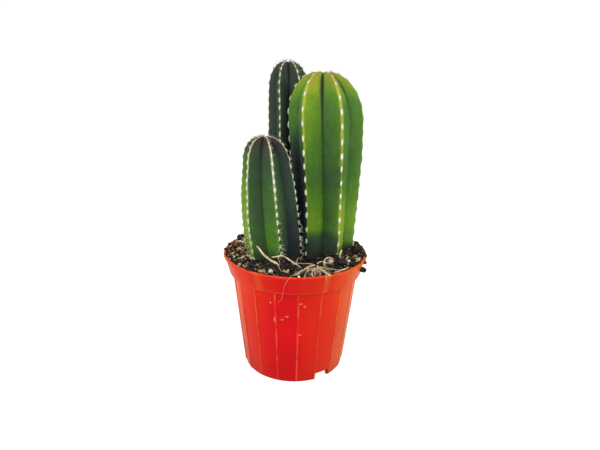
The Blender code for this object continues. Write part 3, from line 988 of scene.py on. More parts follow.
@dataclass
class NurseryPot:
    """The moulded pot: foot ring with drainage notches, ribbed wall, flared band and round lip.

    Attributes:
        rim, band, wall_top, base: Outer radius at the lip, the band's foot, the wall's top and
            the wall's foot.
        shell: Thickness of the wall.
        recess: Height of the floor's underside.
        rib_half_deg: Half the angle that a rib takes up.
        flatness: How far a panel goes from round, 0, to flat, 1.
        wobble: How far the moulding is out of round.
        sharp_deg: Edges that bend more than this stay sharp.
    """

    height: float = 87.0
    rim: float = 52.5
    band_bottom: float = BAND_BOTTOM
    band: float = 48.4
    wall_top: float = WALL_TOP
    base: float = 37.4
    shell: float = 1.2
    recess: float = 3.0
    foot_width: float = 2.3
    lip_round: float = 1.15
    rib_height: float = 0.5
    rib_half_deg: float = 1.1
    flatness: float = 0.42
    wobble: float = 0.12
    notch_height: float = 5.2
    notch_panels: tuple[int, ...] = (1, 7, 13)
    notch_radii: tuple[float, float] = (28.0, 42.0)
    sharp_deg: float = 38.0

    def angles(self) -> Array:
        """Angles round the pot, close together on each rib and evenly spread between ribs."""
        rib = np.linspace(-1.5, 1.5, 11)
        rest = np.linspace(1.5, PANEL_DEG - 1.5, 16)[1:-1]
        ribs = FIRST_RIB_DEG + PANEL_DEG * np.arange(PANELS)[:, None]
        return (ribs + np.concatenate([rib, rest])).ravel()

    def outline(self) -> tuple[Array, Array]:
        """The shell's section, and how much of the wall's ribs and flats each point carries.

        It runs from under the floor, over the foot, up the wall and the band, round the lip, and
        down inside to the floor. Corners are turned by short arcs and long runs are divided.
        """
        arc = np.radians(np.linspace(-70, 190, 15))
        lip = np.stack([np.cos(arc), np.sin(arc)], -1) * self.lip_round
        lip = lip + [self.rim - self.lip_round, self.height - self.lip_round]
        step = self.band_bottom
        wall = np.linspace([self.base, 0.7], [self.wall_top, step - 0.15], 64)
        ring = self.base - self.foot_width
        under = [[ring - 0.6, self.recess], [ring, 0.25]]
        foot = [[ring + 0.25, 0.0], [self.base - 0.7, 0.0], [self.base - 0.2, 0.2]]
        shelf = [[self.wall_top + 0.2, step], [self.band - 0.5, step - 0.05]]
        shelf.append([self.band - 0.1, step + 0.1])
        band = np.linspace(
            [self.band + 0.1, step + 0.5], [self.rim - self.lip_round, self.height - 2.7], 22
        )
        inner_lip = [[self.rim - 2.35, self.height - 2.0]]
        inner_band = np.linspace(
            [self.rim - 2.45, self.height - 3.0], [self.band - self.shell, step + 0.8], 8
        )
        inner_foot = [self.base - 0.9, self.recess + self.shell]
        inner_wall = np.linspace([self.wall_top - self.shell, step - self.shell], inner_foot, 24)
        parts = [under, foot, wall, shelf, band, lip, inner_lip, inner_band, inner_wall]
        weight = np.concatenate([np.full(len(part), float(part is wall)) for part in parts])
        flats = np.concatenate(
            [np.full(len(part), float(part is wall or part is inner_wall)) for part in parts]
        )
        outline = np.concatenate([np.asarray(part, float) for part in parts])
        fade = ease(step - 0.2, step - 1.4, outline[:, 1])
        return outline, np.stack([weight * fade, flats], axis=-1)

    def surface(self) -> Skin:
        """The shell.

        A point's radius is the outline's, plus the rib's eased height near a rib's angle, less
        part of the gap between a round wall and a flat panel, plus a slow wobble.
        """
        outline, carried = self.outline()
        angles = self.angles()
        half = PANEL_DEG / 2
        from_rib = np.abs((angles - FIRST_RIB_DEG + half) % PANEL_DEG - half)
        rib = ease(self.rib_half_deg, 0.35 * self.rib_half_deg, from_rib)
        chord = 1.0 - np.cos(np.radians(half)) / np.cos(np.radians(half - from_rib))
        radius, height = outline[:, :1], outline[:, 1:]
        reach = radius + carried[:, :1] * self.rib_height * rib
        reach = reach - carried[:, 1:] * self.flatness * radius * chord
        wobble = self.wobble * np.sin(np.radians(2 * angles + 40)) * ease(0, self.height, height)
        return lofted(around(reach + wobble - self.wobble, angles[None], height))

    def notch(self, panel: int) -> Skin:
        """A wedge between two ribs that opens the foot and the floor's corner."""
        first = FIRST_RIB_DEG + panel * PANEL_DEG + self.rib_half_deg + 0.2
        angles = np.linspace(first, first + PANEL_DEG - 2 * self.rib_half_deg - 0.4, 12)
        inner, outer = self.notch_radii
        flat = np.concatenate([around(outer, angles, 0.0), around(inner, angles[::-1], 0.0)])
        lift = np.array([-1.0, self.notch_height])[:, None, None] * np.array([0.0, 0.0, 1.0])
        return lofted(flat[None] + lift)

    def build(self) -> None:
        """Makes the pot and cuts its notches."""
        plastic = PotPlastic("pot_plastic").material()
        pot = put("pot_shell", self.surface(), plastic, ("pot",))
        cutters = []
        for panel in self.notch_panels:
            cutter = linked(f"notch_{panel}", mesh_from(f"notch_{panel}", self.notch(panel)))
            modifier = pot.modifiers.new(cutter.name, "BOOLEAN")
            modifier.operation, modifier.solver, modifier.object = "DIFFERENCE", "EXACT", cutter
            cutters.append(cutter)
        bpy.context.view_layer.update()
        evaluated = pot.evaluated_get(bpy.context.evaluated_depsgraph_get())
        cut = bpy.data.meshes.new_from_object(evaluated)
        pot.modifiers.clear()
        pot.data = cut
        for cutter in cutters:
            bpy.data.objects.remove(cutter)
        cut.shade_smooth()
        cut.set_sharp_from_angle(angle=math.radians(self.sharp_deg))


# ---- stems


@dataclass
class StemShape:
    """A stem's surface and the values along it.

    Attributes:
        grid: Surface points, (rows, columns, 3).
        crest: 1 on the ribs' crests, 0 in the valleys.
        rise: 0 at the soil, 1 at the crown, for each row.
        length: Distance along the crest from the bottom, for each row.
        count: How many areoles lie below each row on a rib.
    """

    grid: Array
    crest: Array
    rise: Array
    length: Array
    count: Array


@dataclass
class CactusStem:
    """One columnar stem with six ribs, its areoles and its spines.

    Attributes:
        node: The frame's solid that it stands for.
        slot: The record's material slot; not used.
        foot: Where its axis meets the soil.
        lean: How far the axis leans by the top, in x and y.
        bow: How far the axis bows in x half way up.
        radii: Crest radius at the soil, half way up and at the shoulder.
        buried: Depth of its foot below the soil.
        top: Height of its crown.
        crown: Height of the rounded part.
        rib_deg: Angle of the first rib at the soil.
        twist_deg: How far the ribs turn by the top.
        skin: Its finish.
        painted_light_tones: Painted light and shade as skin tone at each station, for each flank
        that has its own. Flank 0 runs from the first crest to the next valley, and flank 11
        back to it.
        valley_shades: Painted shade at each station, for each valley that has its own.
        areole_gaps: Distance between areoles at the soil and at the shoulder.
        areole_size: Length of an areole.
        spine_lengths: Usual length of a spine at the soil and at the crown.
        spines: Spines on each areole.
        seed: Picks its own small variations.
        valley_share: Radius in a valley as a share of the crest's.
        dimple: Depth of the hollow in the crown's middle.
    """

    node: str
    slot: str
    foot: tuple[float, float]
    lean: tuple[float, float]
    bow: float
    radii: Triple
    buried: float
    top: float
    crown: float
    rib_deg: float
    twist_deg: float
    skin: CactusSkin
    painted_light_tones: dict[int, tuple[float, ...]]
    valley_shades: dict[int, tuple[float, ...]]
    areole_gaps: tuple[float, float]
    areole_size: float
    spine_lengths: tuple[float, float]
    spines: int
    seed: int
    ribs: int = 6
    columns_per_rib: int = 36
    body_rows: int = 200
    crown_rows: int = 58
    dimple_rows: int = 10
    valley_share: float = 0.74
    crest_round: float = 0.15
    dimple: float = 2.2
    # painted light and shade of a flank that has none of its own
    usual_painted_light_tones: tuple[float, ...] = (0.1, 0.25, 0.5, 0.45, 0.6, 0.8)
    # painted shade of a valley that has none of its own
    usual_valley_shade: tuple[float, ...] = (0.3, 0.35, 0.4, 0.45, 0.7, 0.9)
    stations: tuple[float, ...] = (0.0, 0.11, 0.2, 0.5, 0.8, 1.0)

    def profile(self) -> tuple[Array, Array, Array]:
        """Up the crest: heights, radii, and 0 to 1 through the crown.

        The body's radius is the parabola through its three radii, and its foot rounds off below
        the soil. The crown is a superellipse that ends at a small tip radius, and a dimple dips
        from there to the middle.
        """
        low, middle, shoulder = self.radii
        shoulder_height = self.top - self.crown
        body = np.linspace(SOIL_ROOT - self.buried, shoulder_height, self.body_rows)
        share = np.clip((body - SOIL_ROOT) / (shoulder_height - SOIL_ROOT), 0, 1)
        radius = low * (1 - share) * (1 - 2 * share) + middle * 4 * share * (1 - share)
        radius = radius + shoulder * share * (2 * share - 1)
        depth = np.clip((SOIL_ROOT - body) / self.buried, 0, 1)
        radius = radius * np.sqrt(1 - 0.8 * depth**3)
        climb = np.sin(np.linspace(0, np.pi / 2, self.crown_rows + 1)[1:])
        tip = 0.12 * shoulder
        crown_radius = tip + (shoulder - tip) * np.sqrt(1 - climb**2.2)
        inward = np.linspace(1, 0.06, self.dimple_rows + 1)[1:]
        dip = self.top - self.dimple * (1 - inward**2)
        heights = [body, shoulder_height + self.crown * climb, dip]
        radii = [radius, crown_radius, tip * inward]
        crown_share = [np.zeros(self.body_rows), climb, np.ones(self.dimple_rows)]
        return np.concatenate(heights), np.concatenate(radii), np.concatenate(crown_share)

    def shape(self) -> StemShape:
        """The ribbed surface.

        A point's reach from the leaning, bowed axis is the crest radius times a share that falls
        from 1 on a crest to the valley's share, nearly in a straight line, with slightly full
        flanks. Crests swell a little at each areole, and soft noise roughens the whole.
        """
        heights, radii, crown = self.profile()
        columns = self.ribs * self.columns_per_rib
        offset = np.arange(columns) * 360.0 / columns
        half = 180.0 / self.ribs
        share = np.abs((offset + half) % (2 * half) - half) / half
        rounded = np.hypot(share, self.crest_round) - self.crest_round
        crest = 1 - rounded / (np.hypot(1, self.crest_round) - self.crest_round)
        rise = (heights - SOIL_ROOT) / (self.top - SOIL_ROOT)
        above = np.clip(rise, 0, None)
        turn = self.rib_deg + self.twist_deg * above + 0.9 * np.sin(heights / 19.0 + self.seed)
        x = self.foot[0] + self.lean[0] * above + self.bow * 4 * above * (1 - above)
        y = self.foot[1] + self.lean[1] * above
        valley = self.valley_share - 0.2 * crown**2 + 0.02 * np.sin(heights / 23.0 + 2 * self.seed)
        full = crest + 0.16 * crest * (1 - crest)
        steps = np.hypot(np.diff(heights), np.diff(radii))
        length = np.concatenate([[0], np.cumsum(steps)])
        count = self._areoles_below(length)
        rib_of = np.round(offset / (2 * half)) % self.ribs
        draw = np.random.default_rng(self.seed)
        phase = draw.uniform(0, 1, self.ribs)[rib_of.astype(int)]
        vary = 1 + 0.012 * draw.normal(size=self.ribs)[rib_of.astype(int)] * crest
        swell = 0.12 * np.cos(2 * np.pi * (count[:, None] + phase)) * crest**6
        swell = swell * ease(1.0, 0.85, crown)[:, None]
        waist = 1 + 0.012 * np.sin(heights / 15.0 + self.seed) * (1 - crown)
        valley = valley[:, None]
        reach = radii[:, None] * waist[:, None] * vary * (valley + (1 - valley) * full)
        drop = 0.08 * self.crown * crown[:, None] ** 4 * (1 - crest)
        drop = drop * (radii[:, None] / self.radii[2]) ** 0.5
        grid = around(reach + swell, turn[:, None] + offset, heights[:, None] - drop)
        grid[..., 0] += x[:, None]
        grid[..., 1] += y[:, None]
        flat = grid.reshape(-1, 3)
        soft = layered_noise(flat, 13.0, 3, self.seed * 7).reshape(reach.shape)
        push = 0.28 * soft * np.minimum(radii / 6.0, 1.0)[:, None]
        grid += push[..., None] * around(1.0, turn[:, None] + offset, 0.0)
        return StemShape(grid, np.broadcast_to(crest, reach.shape), rise, length, count)

    def _areoles_below(self, length: Array) -> Array:
        """How many areoles fit below each place along the crest, closer together at the crown."""
        low, high = self.areole_gaps
        share = length / length[-1]
        gap = (low + (high - low) * share) * (0.38 + 0.62 * ease(0, 26.0, length[-1] - length))
        return np.concatenate([[0], np.cumsum(np.diff(length) / gap[1:])])

    def up_the_stem(self, values: list[tuple[float, ...]], rise: Array) -> Array:
        """Values given at the stations, joined smoothly at every rise, (rows, lists)."""
        levels, stations = np.array(values, float), np.array(self.stations)
        rise = np.clip(rise, 0, 0.9999)
        low = np.searchsorted(stations, rise, side="right") - 1
        step = ease(0, 1, (rise - stations[low]) / (stations[low + 1] - stations[low]))[:, None]
        return levels[:, low].T * (1 - step) + levels[:, low + 1].T * step

    def tone(self, shape: StemShape) -> Array:
        """Skin tone on the grid, which carries painted light and shade.

        A crest or valley between two flanks takes their mean, and the tone rises near a crest as a
        painted highlight.
        """
        flanks = 2 * self.ribs
        given = [self.painted_light_tones.get(flank, self.usual_painted_light_tones) for flank in range(flanks)]
        by_flank = self.up_the_stem(given, shape.rise)
        place = np.arange(shape.crest.shape[1]) * 2.0 / self.columns_per_rib
        here = np.floor(place).astype(int) % flanks
        before = np.floor(place - 1e-6).astype(int) % flanks
        tone = 0.5 * (by_flank[:, here] + by_flank[:, before])
        # Painted highlight: crests are painted lighter.
        return tone + 0.14 * (shape.crest**3 - 0.25)

    def valley_shade(self, shape: StemShape) -> Array:
        """Painted shade in the valleys on the grid: a narrow line that widens towards the crown."""
        given = [self.valley_shades.get(valley, self.usual_valley_shade) for valley in range(self.ribs)]
        valley = np.arange(shape.crest.shape[1]) // self.columns_per_rib
        width = 0.1 + 0.34 * ease(0.7, 1.0, shape.rise)[:, None] ** 2
        return self.up_the_stem(given, shape.rise)[:, valley] * ease(1, 0, shape.crest / width)

    def areoles(self, shape: StemShape) -> tuple[Array, Array, Array]:
        """Where the areoles sit: middles, own directions and rise.

        The directions are across the rib, up along the crest and outwards. They come from the
        surface's slopes at the crest, read between rows.
        """
        draw = np.random.default_rng(self.seed)
        phase = draw.uniform(0, 1, self.ribs)
        rows = np.arange(len(shape.rise))
        visible = shape.count[np.searchsorted(shape.rise, 0.0)]
        last = shape.count[-self.dimple_rows - 3]
        places, frames, rises = [], [], []
        for rib in range(self.ribs):
            column = rib * self.columns_per_rib
            whole = np.arange(math.ceil(visible + phase[rib]), math.floor(last + phase[rib]) + 1)
            jitter = draw.normal(scale=0.05, size=len(whole))
            at = np.interp(whole - phase[rib] + jitter, shape.count, rows)
            crest = shape.grid[:, column]
            side = shape.grid[:, column + 1] - shape.grid[:, column - 1]
            up = np.gradient(crest, axis=0)
            middle, across, along = (
                np.stack([np.interp(at, rows, line[:, k]) for k in range(3)], -1)
                for line in (crest, side, up)
            )
            across, along = unit(across), unit(along)
            out = unit(np.cross(across, along))
            places.append(middle)
            frames.append(np.stack([across, np.cross(out, across), out], axis=-1))
            rises.append(np.interp(at, rows, shape.rise))
        return np.concatenate(places), np.concatenate(frames), np.concatenate(rises)

    def felt(self, places: Array, frames: Array, rises: Array) -> Skin:
        """Oval pads of wool with a fringe of short hairs."""
        draw = np.random.default_rng(self.seed + 50)
        count = len(places)
        young = ease(0.75, 1.0, rises)
        size = self.areole_size * (0.85 + 0.2 * ease(0.0, 0.4, rises)) * (1 - 0.35 * young)
        size = size * draw.uniform(0.85, 1.15, count)
        spread = np.stack([0.165 * size, 0.5 * size, 0.09 * size], axis=-1)
        spread[:, 0] *= draw.uniform(0.85, 1.25, count)
        pad = ball(5, 9)
        pads = copies(pad, places + 0.08 * frames[..., 2], frames, spread)
        lumpy = 0.12 * layered_noise(pads.points, 0.7, 2, self.seed)[:, None]
        pads.points += lumpy * np.repeat(frames[..., 2], len(pad.points), axis=0)
        hairs = 12
        turn = draw.uniform(0, 2 * np.pi, (count, hairs))
        flat = np.stack([0.14 * np.cos(turn), 0.46 * np.sin(turn), np.full_like(turn, 0.03)], -1)
        start = places[:, None] + np.einsum("nij,nhj->nhi", frames, flat * size[:, None, None])
        lift = draw.uniform(0.3, 1.1, turn.shape)
        away = unit(np.stack([0.6 * np.cos(turn), 0.8 * np.sin(turn), lift], -1))
        away = np.einsum("nij,nhj->nhi", frames, away)
        away = away * draw.uniform(0.25, 0.6, turn.shape)[..., None]
        bend = draw.normal(scale=0.1, size=(count, hairs, 3))
        paths = np.stack([start, start + 0.55 * away + bend, start + away], axis=2)
        paths = paths.reshape(-1, 3, 3)
        fringe = swept(paths, np.tile([0.06, 0.05, 0.02], (len(paths), 1)), 3)
        pads.marks = {"rise": rises[pads.marks["copy"].astype(int)]}
        fringe.marks = {"rise": rises[tube_of(len(paths), 9) // hairs]}
        return joined([pads, fringe])

    def horn(self, places: Array, frames: Array, rises: Array) -> Skin:
        """Spines: thin tapered tubes that fan out from each areole and curve a little."""
        draw = np.random.default_rng(self.seed + 90)
        count = len(places)
        low, high = self.spine_lengths
        usual = low + (high - low) * ease(0.05, 0.55, rises)
        usual = usual * (1 + 0.5 * ease(0.86, 0.99, rises))
        shape = (count, self.spines)
        length = usual[:, None] * draw.uniform(0.45, 1.3, shape)
        turn = (np.arange(self.spines) + draw.uniform(-0.35, 0.35, shape)) * 2 * np.pi / self.spines
        lift = draw.uniform(0.25, 1.3, shape)
        away = unit(np.stack([np.cos(turn), np.sin(turn), lift], axis=-1))
        away = np.einsum("nij,nsj->nsi", frames, away)
        start = places[:, None] + 0.1 * away
        droop = draw.normal(scale=0.08, size=(*shape, 3)) * length[..., None]
        share = np.linspace(0, 1, 4)[:, None]
        paths = start[:, :, None] + away[:, :, None] * length[..., None, None] * share
        paths = paths + droop[:, :, None] * share**2
        thick = np.clip(0.06 + 0.022 * length, 0.06, 0.15).reshape(-1, 1)
        radii = thick * np.array([1.0, 0.8, 0.5, 0.12])
        spines = swept(paths.reshape(-1, 4, 3), radii, 4)
        fresh = ease(0.93, 0.995, rises) * 0.8
        spines.marks["fresh"] = fresh[tube_of(count * self.spines, 16) // self.spines]
        return spines

    def build(self, felt: Material, horn: Material) -> None:
        """Makes the stem's body, its areoles and its spines."""
        shape = self.shape()
        rise = np.broadcast_to(shape.rise[:, None], shape.crest.shape)
        marks = {"crest": shape.crest, "rise": rise}
        marks |= {"tone": self.tone(shape), "valley_shade": self.valley_shade(shape)}
        body = lofted(shape.grid, marks)
        put(f"{self.node}_skin", body, self.skin.material(), (self.node,))
        places, frames, rises = self.areoles(shape)
        put(f"{self.node}_areoles", self.felt(places, frames, rises), felt)
        put(f"{self.node}_spines", self.horn(places, frames, rises), horn)

    def clear_of(self, x: Array, y: Array, share: float) -> Array:
        """True where a place on the soil lies outside this share of the stem's radius."""
        return np.hypot(x - self.foot[0], y - self.foot[1]) > share * self.radii[0]


# ---- potting mix


@dataclass
class MixBed:
    """The potting mix: a lumpy bed with loose crumbs and fibres on it."""

    pot: NurseryPot
    level: float = 84.2
    mounds: tuple[tuple[float, float, float, float], ...] = (
        # x, y, height, spread
        (-8.0, -29.0, 6.6, 7.5),
        (-27.0, -26.0, 2.2, 8.0),
        (27.0, -17.5, 5.0, 8.0),
        (-41.0, 10.0, 3.8, 9.0),
        (43.0, -2.0, 3.8, 9.0),
        (7.0, -15.0, -1.6, 6.0),
        (20.0, 38.0, 1.6, 12.0),
    )
    edge: float = 49.0
    columns: int = 420
    rings: int = 120
    seed: int = 11

    def height(self, x: Array, y: Array) -> Array:
        """The surface: its level, its mounds, ripples, and lumps of three sizes."""
        height = np.full(x.shape, self.level)
        for mound_x, mound_y, rise, spread in self.mounds:
            away = (x - mound_x) ** 2 + (y - mound_y) ** 2
            height = height + rise * np.exp(-away / (2 * spread**2))
        height = height + 0.45 * np.sin(0.55 * x + 1.3) * np.sin(0.47 * y + 0.6)
        height = height + 0.3 * np.sin(0.31 * x - 0.37 * y)
        flat = np.stack([x.ravel(), y.ravel(), np.zeros(x.size)], axis=-1)
        lumps = 0.75 * lattice_noise(flat, 6.5, self.seed)
        lumps = lumps + 0.5 * lattice_noise(flat, 2.7, self.seed + 1)
        lumps = lumps + 0.28 * lattice_noise(flat, 1.2, self.seed + 2)
        return height + lumps.reshape(x.shape)

    def bed(self) -> Skin:
        """The block: up inside the pot's wall, then in rings over the lumpy top to the middle."""
        angles = np.arange(self.columns) * 360.0 / self.columns
        pot = self.pot
        inner = np.array(
            [
                [pot.base - 1.7, pot.recess + pot.shell + 0.35],
                [pot.wall_top - pot.shell - 1.2, pot.band_bottom - pot.shell],
                [pot.band - pot.shell - 0.9, pot.band_bottom + 1.5],
                [self.edge - 0.4, self.level - 3.0],
            ]
        )
        wall = around(inner[:, :1], angles[None], inner[:, 1:])
        radii = self.edge * (1 - np.arange(self.rings) / self.rings)[:, None]
        top = around(radii, angles[None], 0.0)
        top[..., 2] = self.height(top[..., 0], top[..., 1])
        grid = np.concatenate([wall, top])
        tone = 0.06 + 0.1 * lattice_noise(grid.reshape(-1, 3), 3.0, self.seed + 5)
        return lofted(grid, {"tone": tone.reshape(grid.shape[:2])})

    def spots(
        self, draw: Generator, count: int, stems: list[CactusStem], edge: float
    ) -> Array:
        """Random places on the bed that aren't under a stem, (n, 2)."""
        radius = edge * np.sqrt(draw.uniform(0, 1, count))
        turn = draw.uniform(0, 2 * np.pi, count)
        x, y = radius * np.sin(turn), -radius * np.cos(turn)
        free = np.all([stem.clear_of(x, y, 0.74) for stem in stems], axis=0)
        return np.stack([x[free], y[free]], axis=-1)

    def crumbs(self, stems: list[CactusStem]) -> Skin:
        """Loose crumbs of three sizes, mostly dark, some rusty, tan or pale."""
        draw = np.random.default_rng(self.seed)
        skins = []
        for wanted, low, high, model in (
            (3400, 0.25, 0.6, ball(3, 6)),
            (1500, 0.6, 1.15, ball(4, 7)),
            (260, 1.2, 2.2, ball(5, 9)),
        ):
            spots = self.spots(draw, wanted, stems, self.edge - 0.3)
            count = len(spots)
            size = draw.uniform(low, high, count)
            height = self.height(spots[:, 0], spots[:, 1]) + 0.25 * size
            sizes = size[:, None] * draw.uniform(0.55, 1.15, (count, 3))
            centres = np.column_stack([spots, height])
            lumps, each = rough_copies(draw, model, centres, sizes, self.seed + 3)
            tone = draw.beta(1.0, 7.0, count) * 0.7
            chance = 0.05 + 0.38 * ease(-12.0, -38.0, spots[:, 0])
            chance = chance + 0.16 * ease(22.0, 42.0, spots[:, 0])
            pale = draw.uniform(0, 1, count) < chance
            tone = np.where(pale, draw.uniform(0.66, 1.1, count), tone)
            lumps.marks = {"tone": tone[each]}
            skins.append(lumps)
        return joined(skins)

    def fibres(self, stems: list[CactusStem]) -> Skin:
        """Short peat fibres and straws that lie every way on the bed."""
        draw = np.random.default_rng(self.seed + 20)
        spots = self.spots(draw, 900, stems, self.edge - 2.5)
        count = len(spots)
        turn = draw.uniform(0, 2 * np.pi, count)
        length = draw.gamma(3.0, 1.1, count) + 1.0
        share = np.linspace(-0.5, 0.5, 7)
        curl = draw.normal(scale=0.9, size=(count, 1)) * (share**2 - 0.08)
        cos, sin, long = np.cos(turn)[:, None], np.sin(turn)[:, None], length[:, None]
        x = spots[:, :1] + long * (cos * share - sin * curl)
        y = spots[:, 1:] + long * (sin * share + cos * curl)
        reach = np.hypot(x, y)
        keep = (reach.max(axis=1) < self.edge - 0.5) & np.all(
            [stem.clear_of(x, y, 0.8).all(axis=1) for stem in stems], axis=0
        )
        x, y, length = x[keep], y[keep], length[keep]
        count = len(x)
        tilt = draw.normal(scale=0.16, size=(count, 1)) * length[:, None] * share
        height = self.height(x, y).max(axis=1, keepdims=True) * 0.6 + self.height(x, y) * 0.4
        paths = np.stack([x, y, height + 0.15 + tilt], axis=-1)
        thick = draw.uniform(0.05, 0.16, (count, 1)) * np.array([0.6, 0.9, 1, 1, 1, 0.9, 0.5])
        skin = swept(paths, thick, 5)
        tone = np.where(draw.uniform(0, 1, count) > 0.6, draw.uniform(0.55, 0.95, count), 0.3)
        skin.marks = {"tone": tone[tube_of(count, 35)]}
        return skin

    def build(self, stems: list[CactusStem], peat: Material) -> None:
        """Makes the bed, its crumbs and its fibres."""
        put("mix_bed", self.bed(), peat, ("soil",))
        put("mix_crumbs", self.crumbs(stems), peat)
        put("mix_fibres", self.fibres(stems), peat)


# ---- loose pieces on the mix


@dataclass
class LooseRoot:
    """A dry root on the mix, with thin side roots.

    Attributes:
        node: The frame's solid that it stands for.
        radius: Its usual radius.
        route: A few points along it.
        side_roots: How many thinner roots leave it.
        steps: Points along it.
        farthest: Distance from the axis past which a side root is left out.
    """

    node: str
    radius: float
    route: tuple[Triple, ...]
    side_roots: int = 4
    steps: int = 64
    farthest: float = 50.5

    def skin(self, bed: MixBed, seed: int) -> Skin:
        """The root and its side roots.

        The path is the smooth route plus small wander, its radius swells and thins by noise and
        tapers at both ends, and each side root leaves at a slant and lies down on the mix.
        """
        draw = np.random.default_rng(seed)
        knots = np.array(self.route, float)
        path = through(knots, self.steps)
        wander = [lattice_noise(path + shift, 3.0, seed) for shift in (0.0, 40.0, 90.0)]
        path = path + np.stack(wander, axis=-1) * np.array([0.35, 0.35, 0.12])
        path[:, 2] = np.maximum(path[:, 2], bed_line(bed, path) + 0.7 * self.radius)
        share = np.linspace(0, 1, self.steps)
        radius = self.radius * (1 + 0.25 * lattice_noise(path, 1.6, seed + 1))
        radius = radius * (0.35 + 0.65 * ease(0, 0.15, share)) * (0.2 + 0.8 * ease(1, 0.8, share))
        skins = [swept(path[None], radius[None], 10)]
        at = draw.integers(6, self.steps - 6, self.side_roots)
        heading = path[at + 3] - path[at - 3]
        slant = draw.choice([-1, 1], len(at)) * draw.uniform(0.4, 1.0, len(at))
        turn = np.arctan2(heading[:, 1], heading[:, 0]) + slant
        length = draw.uniform(2.5, 7.0, len(at))
        step = np.linspace(0, 1, 9)
        bend = turn[:, None] + draw.normal(scale=0.7, size=(len(at), 1)) * step
        x = path[at, 0][:, None] + np.cumsum(np.cos(bend) * length[:, None] / 9, axis=1)
        y = path[at, 1][:, None] + np.cumsum(np.sin(bend) * length[:, None] / 9, axis=1)
        ground = bed.height(x, y) + 0.3
        lifted = path[at, 2][:, None] * (1 - step) + ground * step
        side = np.stack([x, y, np.maximum(lifted, ground)], axis=-1)
        side = np.concatenate([path[at][:, None], side], axis=1)
        inside = np.hypot(side[..., 0], side[..., 1]).max(axis=1) < self.farthest
        side = side[inside]
        if len(side):
            thin = 0.38 * self.radius * np.linspace(1, 0.35, 10)[None].repeat(len(side), 0)
            skins.append(swept(side, thin, 6))
        return joined(skins)

    def build(self, bed: MixBed, material: Material, seed: int) -> None:
        """Makes the root."""
        put(f"{self.node}_skin", self.skin(bed, seed), material, (self.node,))


def bed_line(bed: MixBed, path: Array) -> Array:
    """The bed's height along a path, smoothed so that a root bridges small hollows."""
    height = bed.height(path[:, 0], path[:, 1])
    window = np.ones(15) / 15
    padded = np.pad(height, 7, mode="edge")
    return np.maximum(np.convolve(padded, window, "valid"), height - 0.1)


@dataclass
class BarkChip:
    """A flake of bark: a flattened, split slab with ragged ends."""

    node: str
    heading_deg: float
    tilt_deg: float
    size: Triple
    lift: float

    def skin(self, seed: int) -> Skin:
        """A rounded box (each coordinate of a sphere raised to a small power), ridged along it."""
        low, high = box_mm(self.node)
        shape = ball(26, 44)
        boxed = np.sign(shape.points) * np.abs(shape.points) ** 0.55
        half = np.array(self.size) / 2
        points = boxed * half
        bent = 1.5 * lattice_noise(points, 3.0, seed)
        points[:, 2] += 0.14 * np.sin(points[:, 1] * 9.0 / self.size[1] + bent) * self.size[2]
        lumps = 0.16 * self.size[2] * layered_noise(points, 1.6, 3, seed)[:, None]
        points += lumps * np.array([0.5, 0.8, 1.0])
        ragged = 0.35 * layered_noise(points * [0, 1, 1], 0.8, 2, seed + 4)
        points[:, 0] += ragged * np.abs(boxed[:, 0]) ** 6
        points[:, 2] += 0.05 * points[:, 0] ** 2 / self.size[0] * 2
        heading, tilt = np.radians(self.heading_deg), np.radians(self.tilt_deg)
        cos, sin = np.cos(tilt), np.sin(tilt)
        pitch = np.array([[cos, 0, sin], [0, 1, 0], [-sin, 0, cos]])
        cos, sin = np.cos(heading), np.sin(heading)
        yaw = np.array([[cos, -sin, 0], [sin, cos, 0], [0, 0, 1]])
        shape.points = points @ (yaw @ pitch).T + (low + high) / 2 - [0, 0, self.lift]
        return shape

    def build(self, material: Material, seed: int) -> None:
        """Makes the chip."""
        put(f"{self.node}_skin", self.skin(seed), material, (self.node,))


def clod_skin(middle: Array, radius: float, seed: int, flat: float = 0.8) -> Skin:
    """A lump of mix: a noisy ball with smaller crumbs stuck all over it."""
    draw = np.random.default_rng(seed)
    core = ball(24, 40)
    dents = 1 + 0.2 * layered_noise(core.points * radius + seed, 1.7, 4, seed)
    core.points = core.points * radius * dents[:, None] * [1, 1, flat] + middle
    core.marks = {"tone": 0.1 + 0.12 * lattice_noise(core.points, 1.5, seed)}
    count = 150
    away = unit(draw.normal(size=(count, 3)))
    centres = middle + away * radius * [1, 1, flat] * draw.uniform(0.82, 1.08, (count, 1))
    sizes = draw.uniform(0.14, 0.42, (count, 1)) * draw.uniform(0.6, 1.2, (count, 3))
    crumbs = copies(ball(3, 6), centres, random_axes(draw, count), sizes)
    pale = draw.uniform(0, 1, count) > 0.86
    tone = np.where(pale, draw.uniform(0.55, 1.0, count), draw.uniform(0, 0.35, count))
    crumbs.marks = {"tone": tone[crumbs.marks["copy"].astype(int)]}
    return joined([core, crumbs])


def grain_skin(middle: Array, radius: float, seed: int) -> Skin:
    """A grain of perlite: a ball with broad noise dents and small pits."""
    grain = ball(22, 34)
    dents = 1 + 0.22 * layered_noise(grain.points * 2 + seed, 1.3, 4, seed)
    grain.points = grain.points * (radius * dents)[:, None] * [1.0, 0.85, 0.8] + middle
    return grain


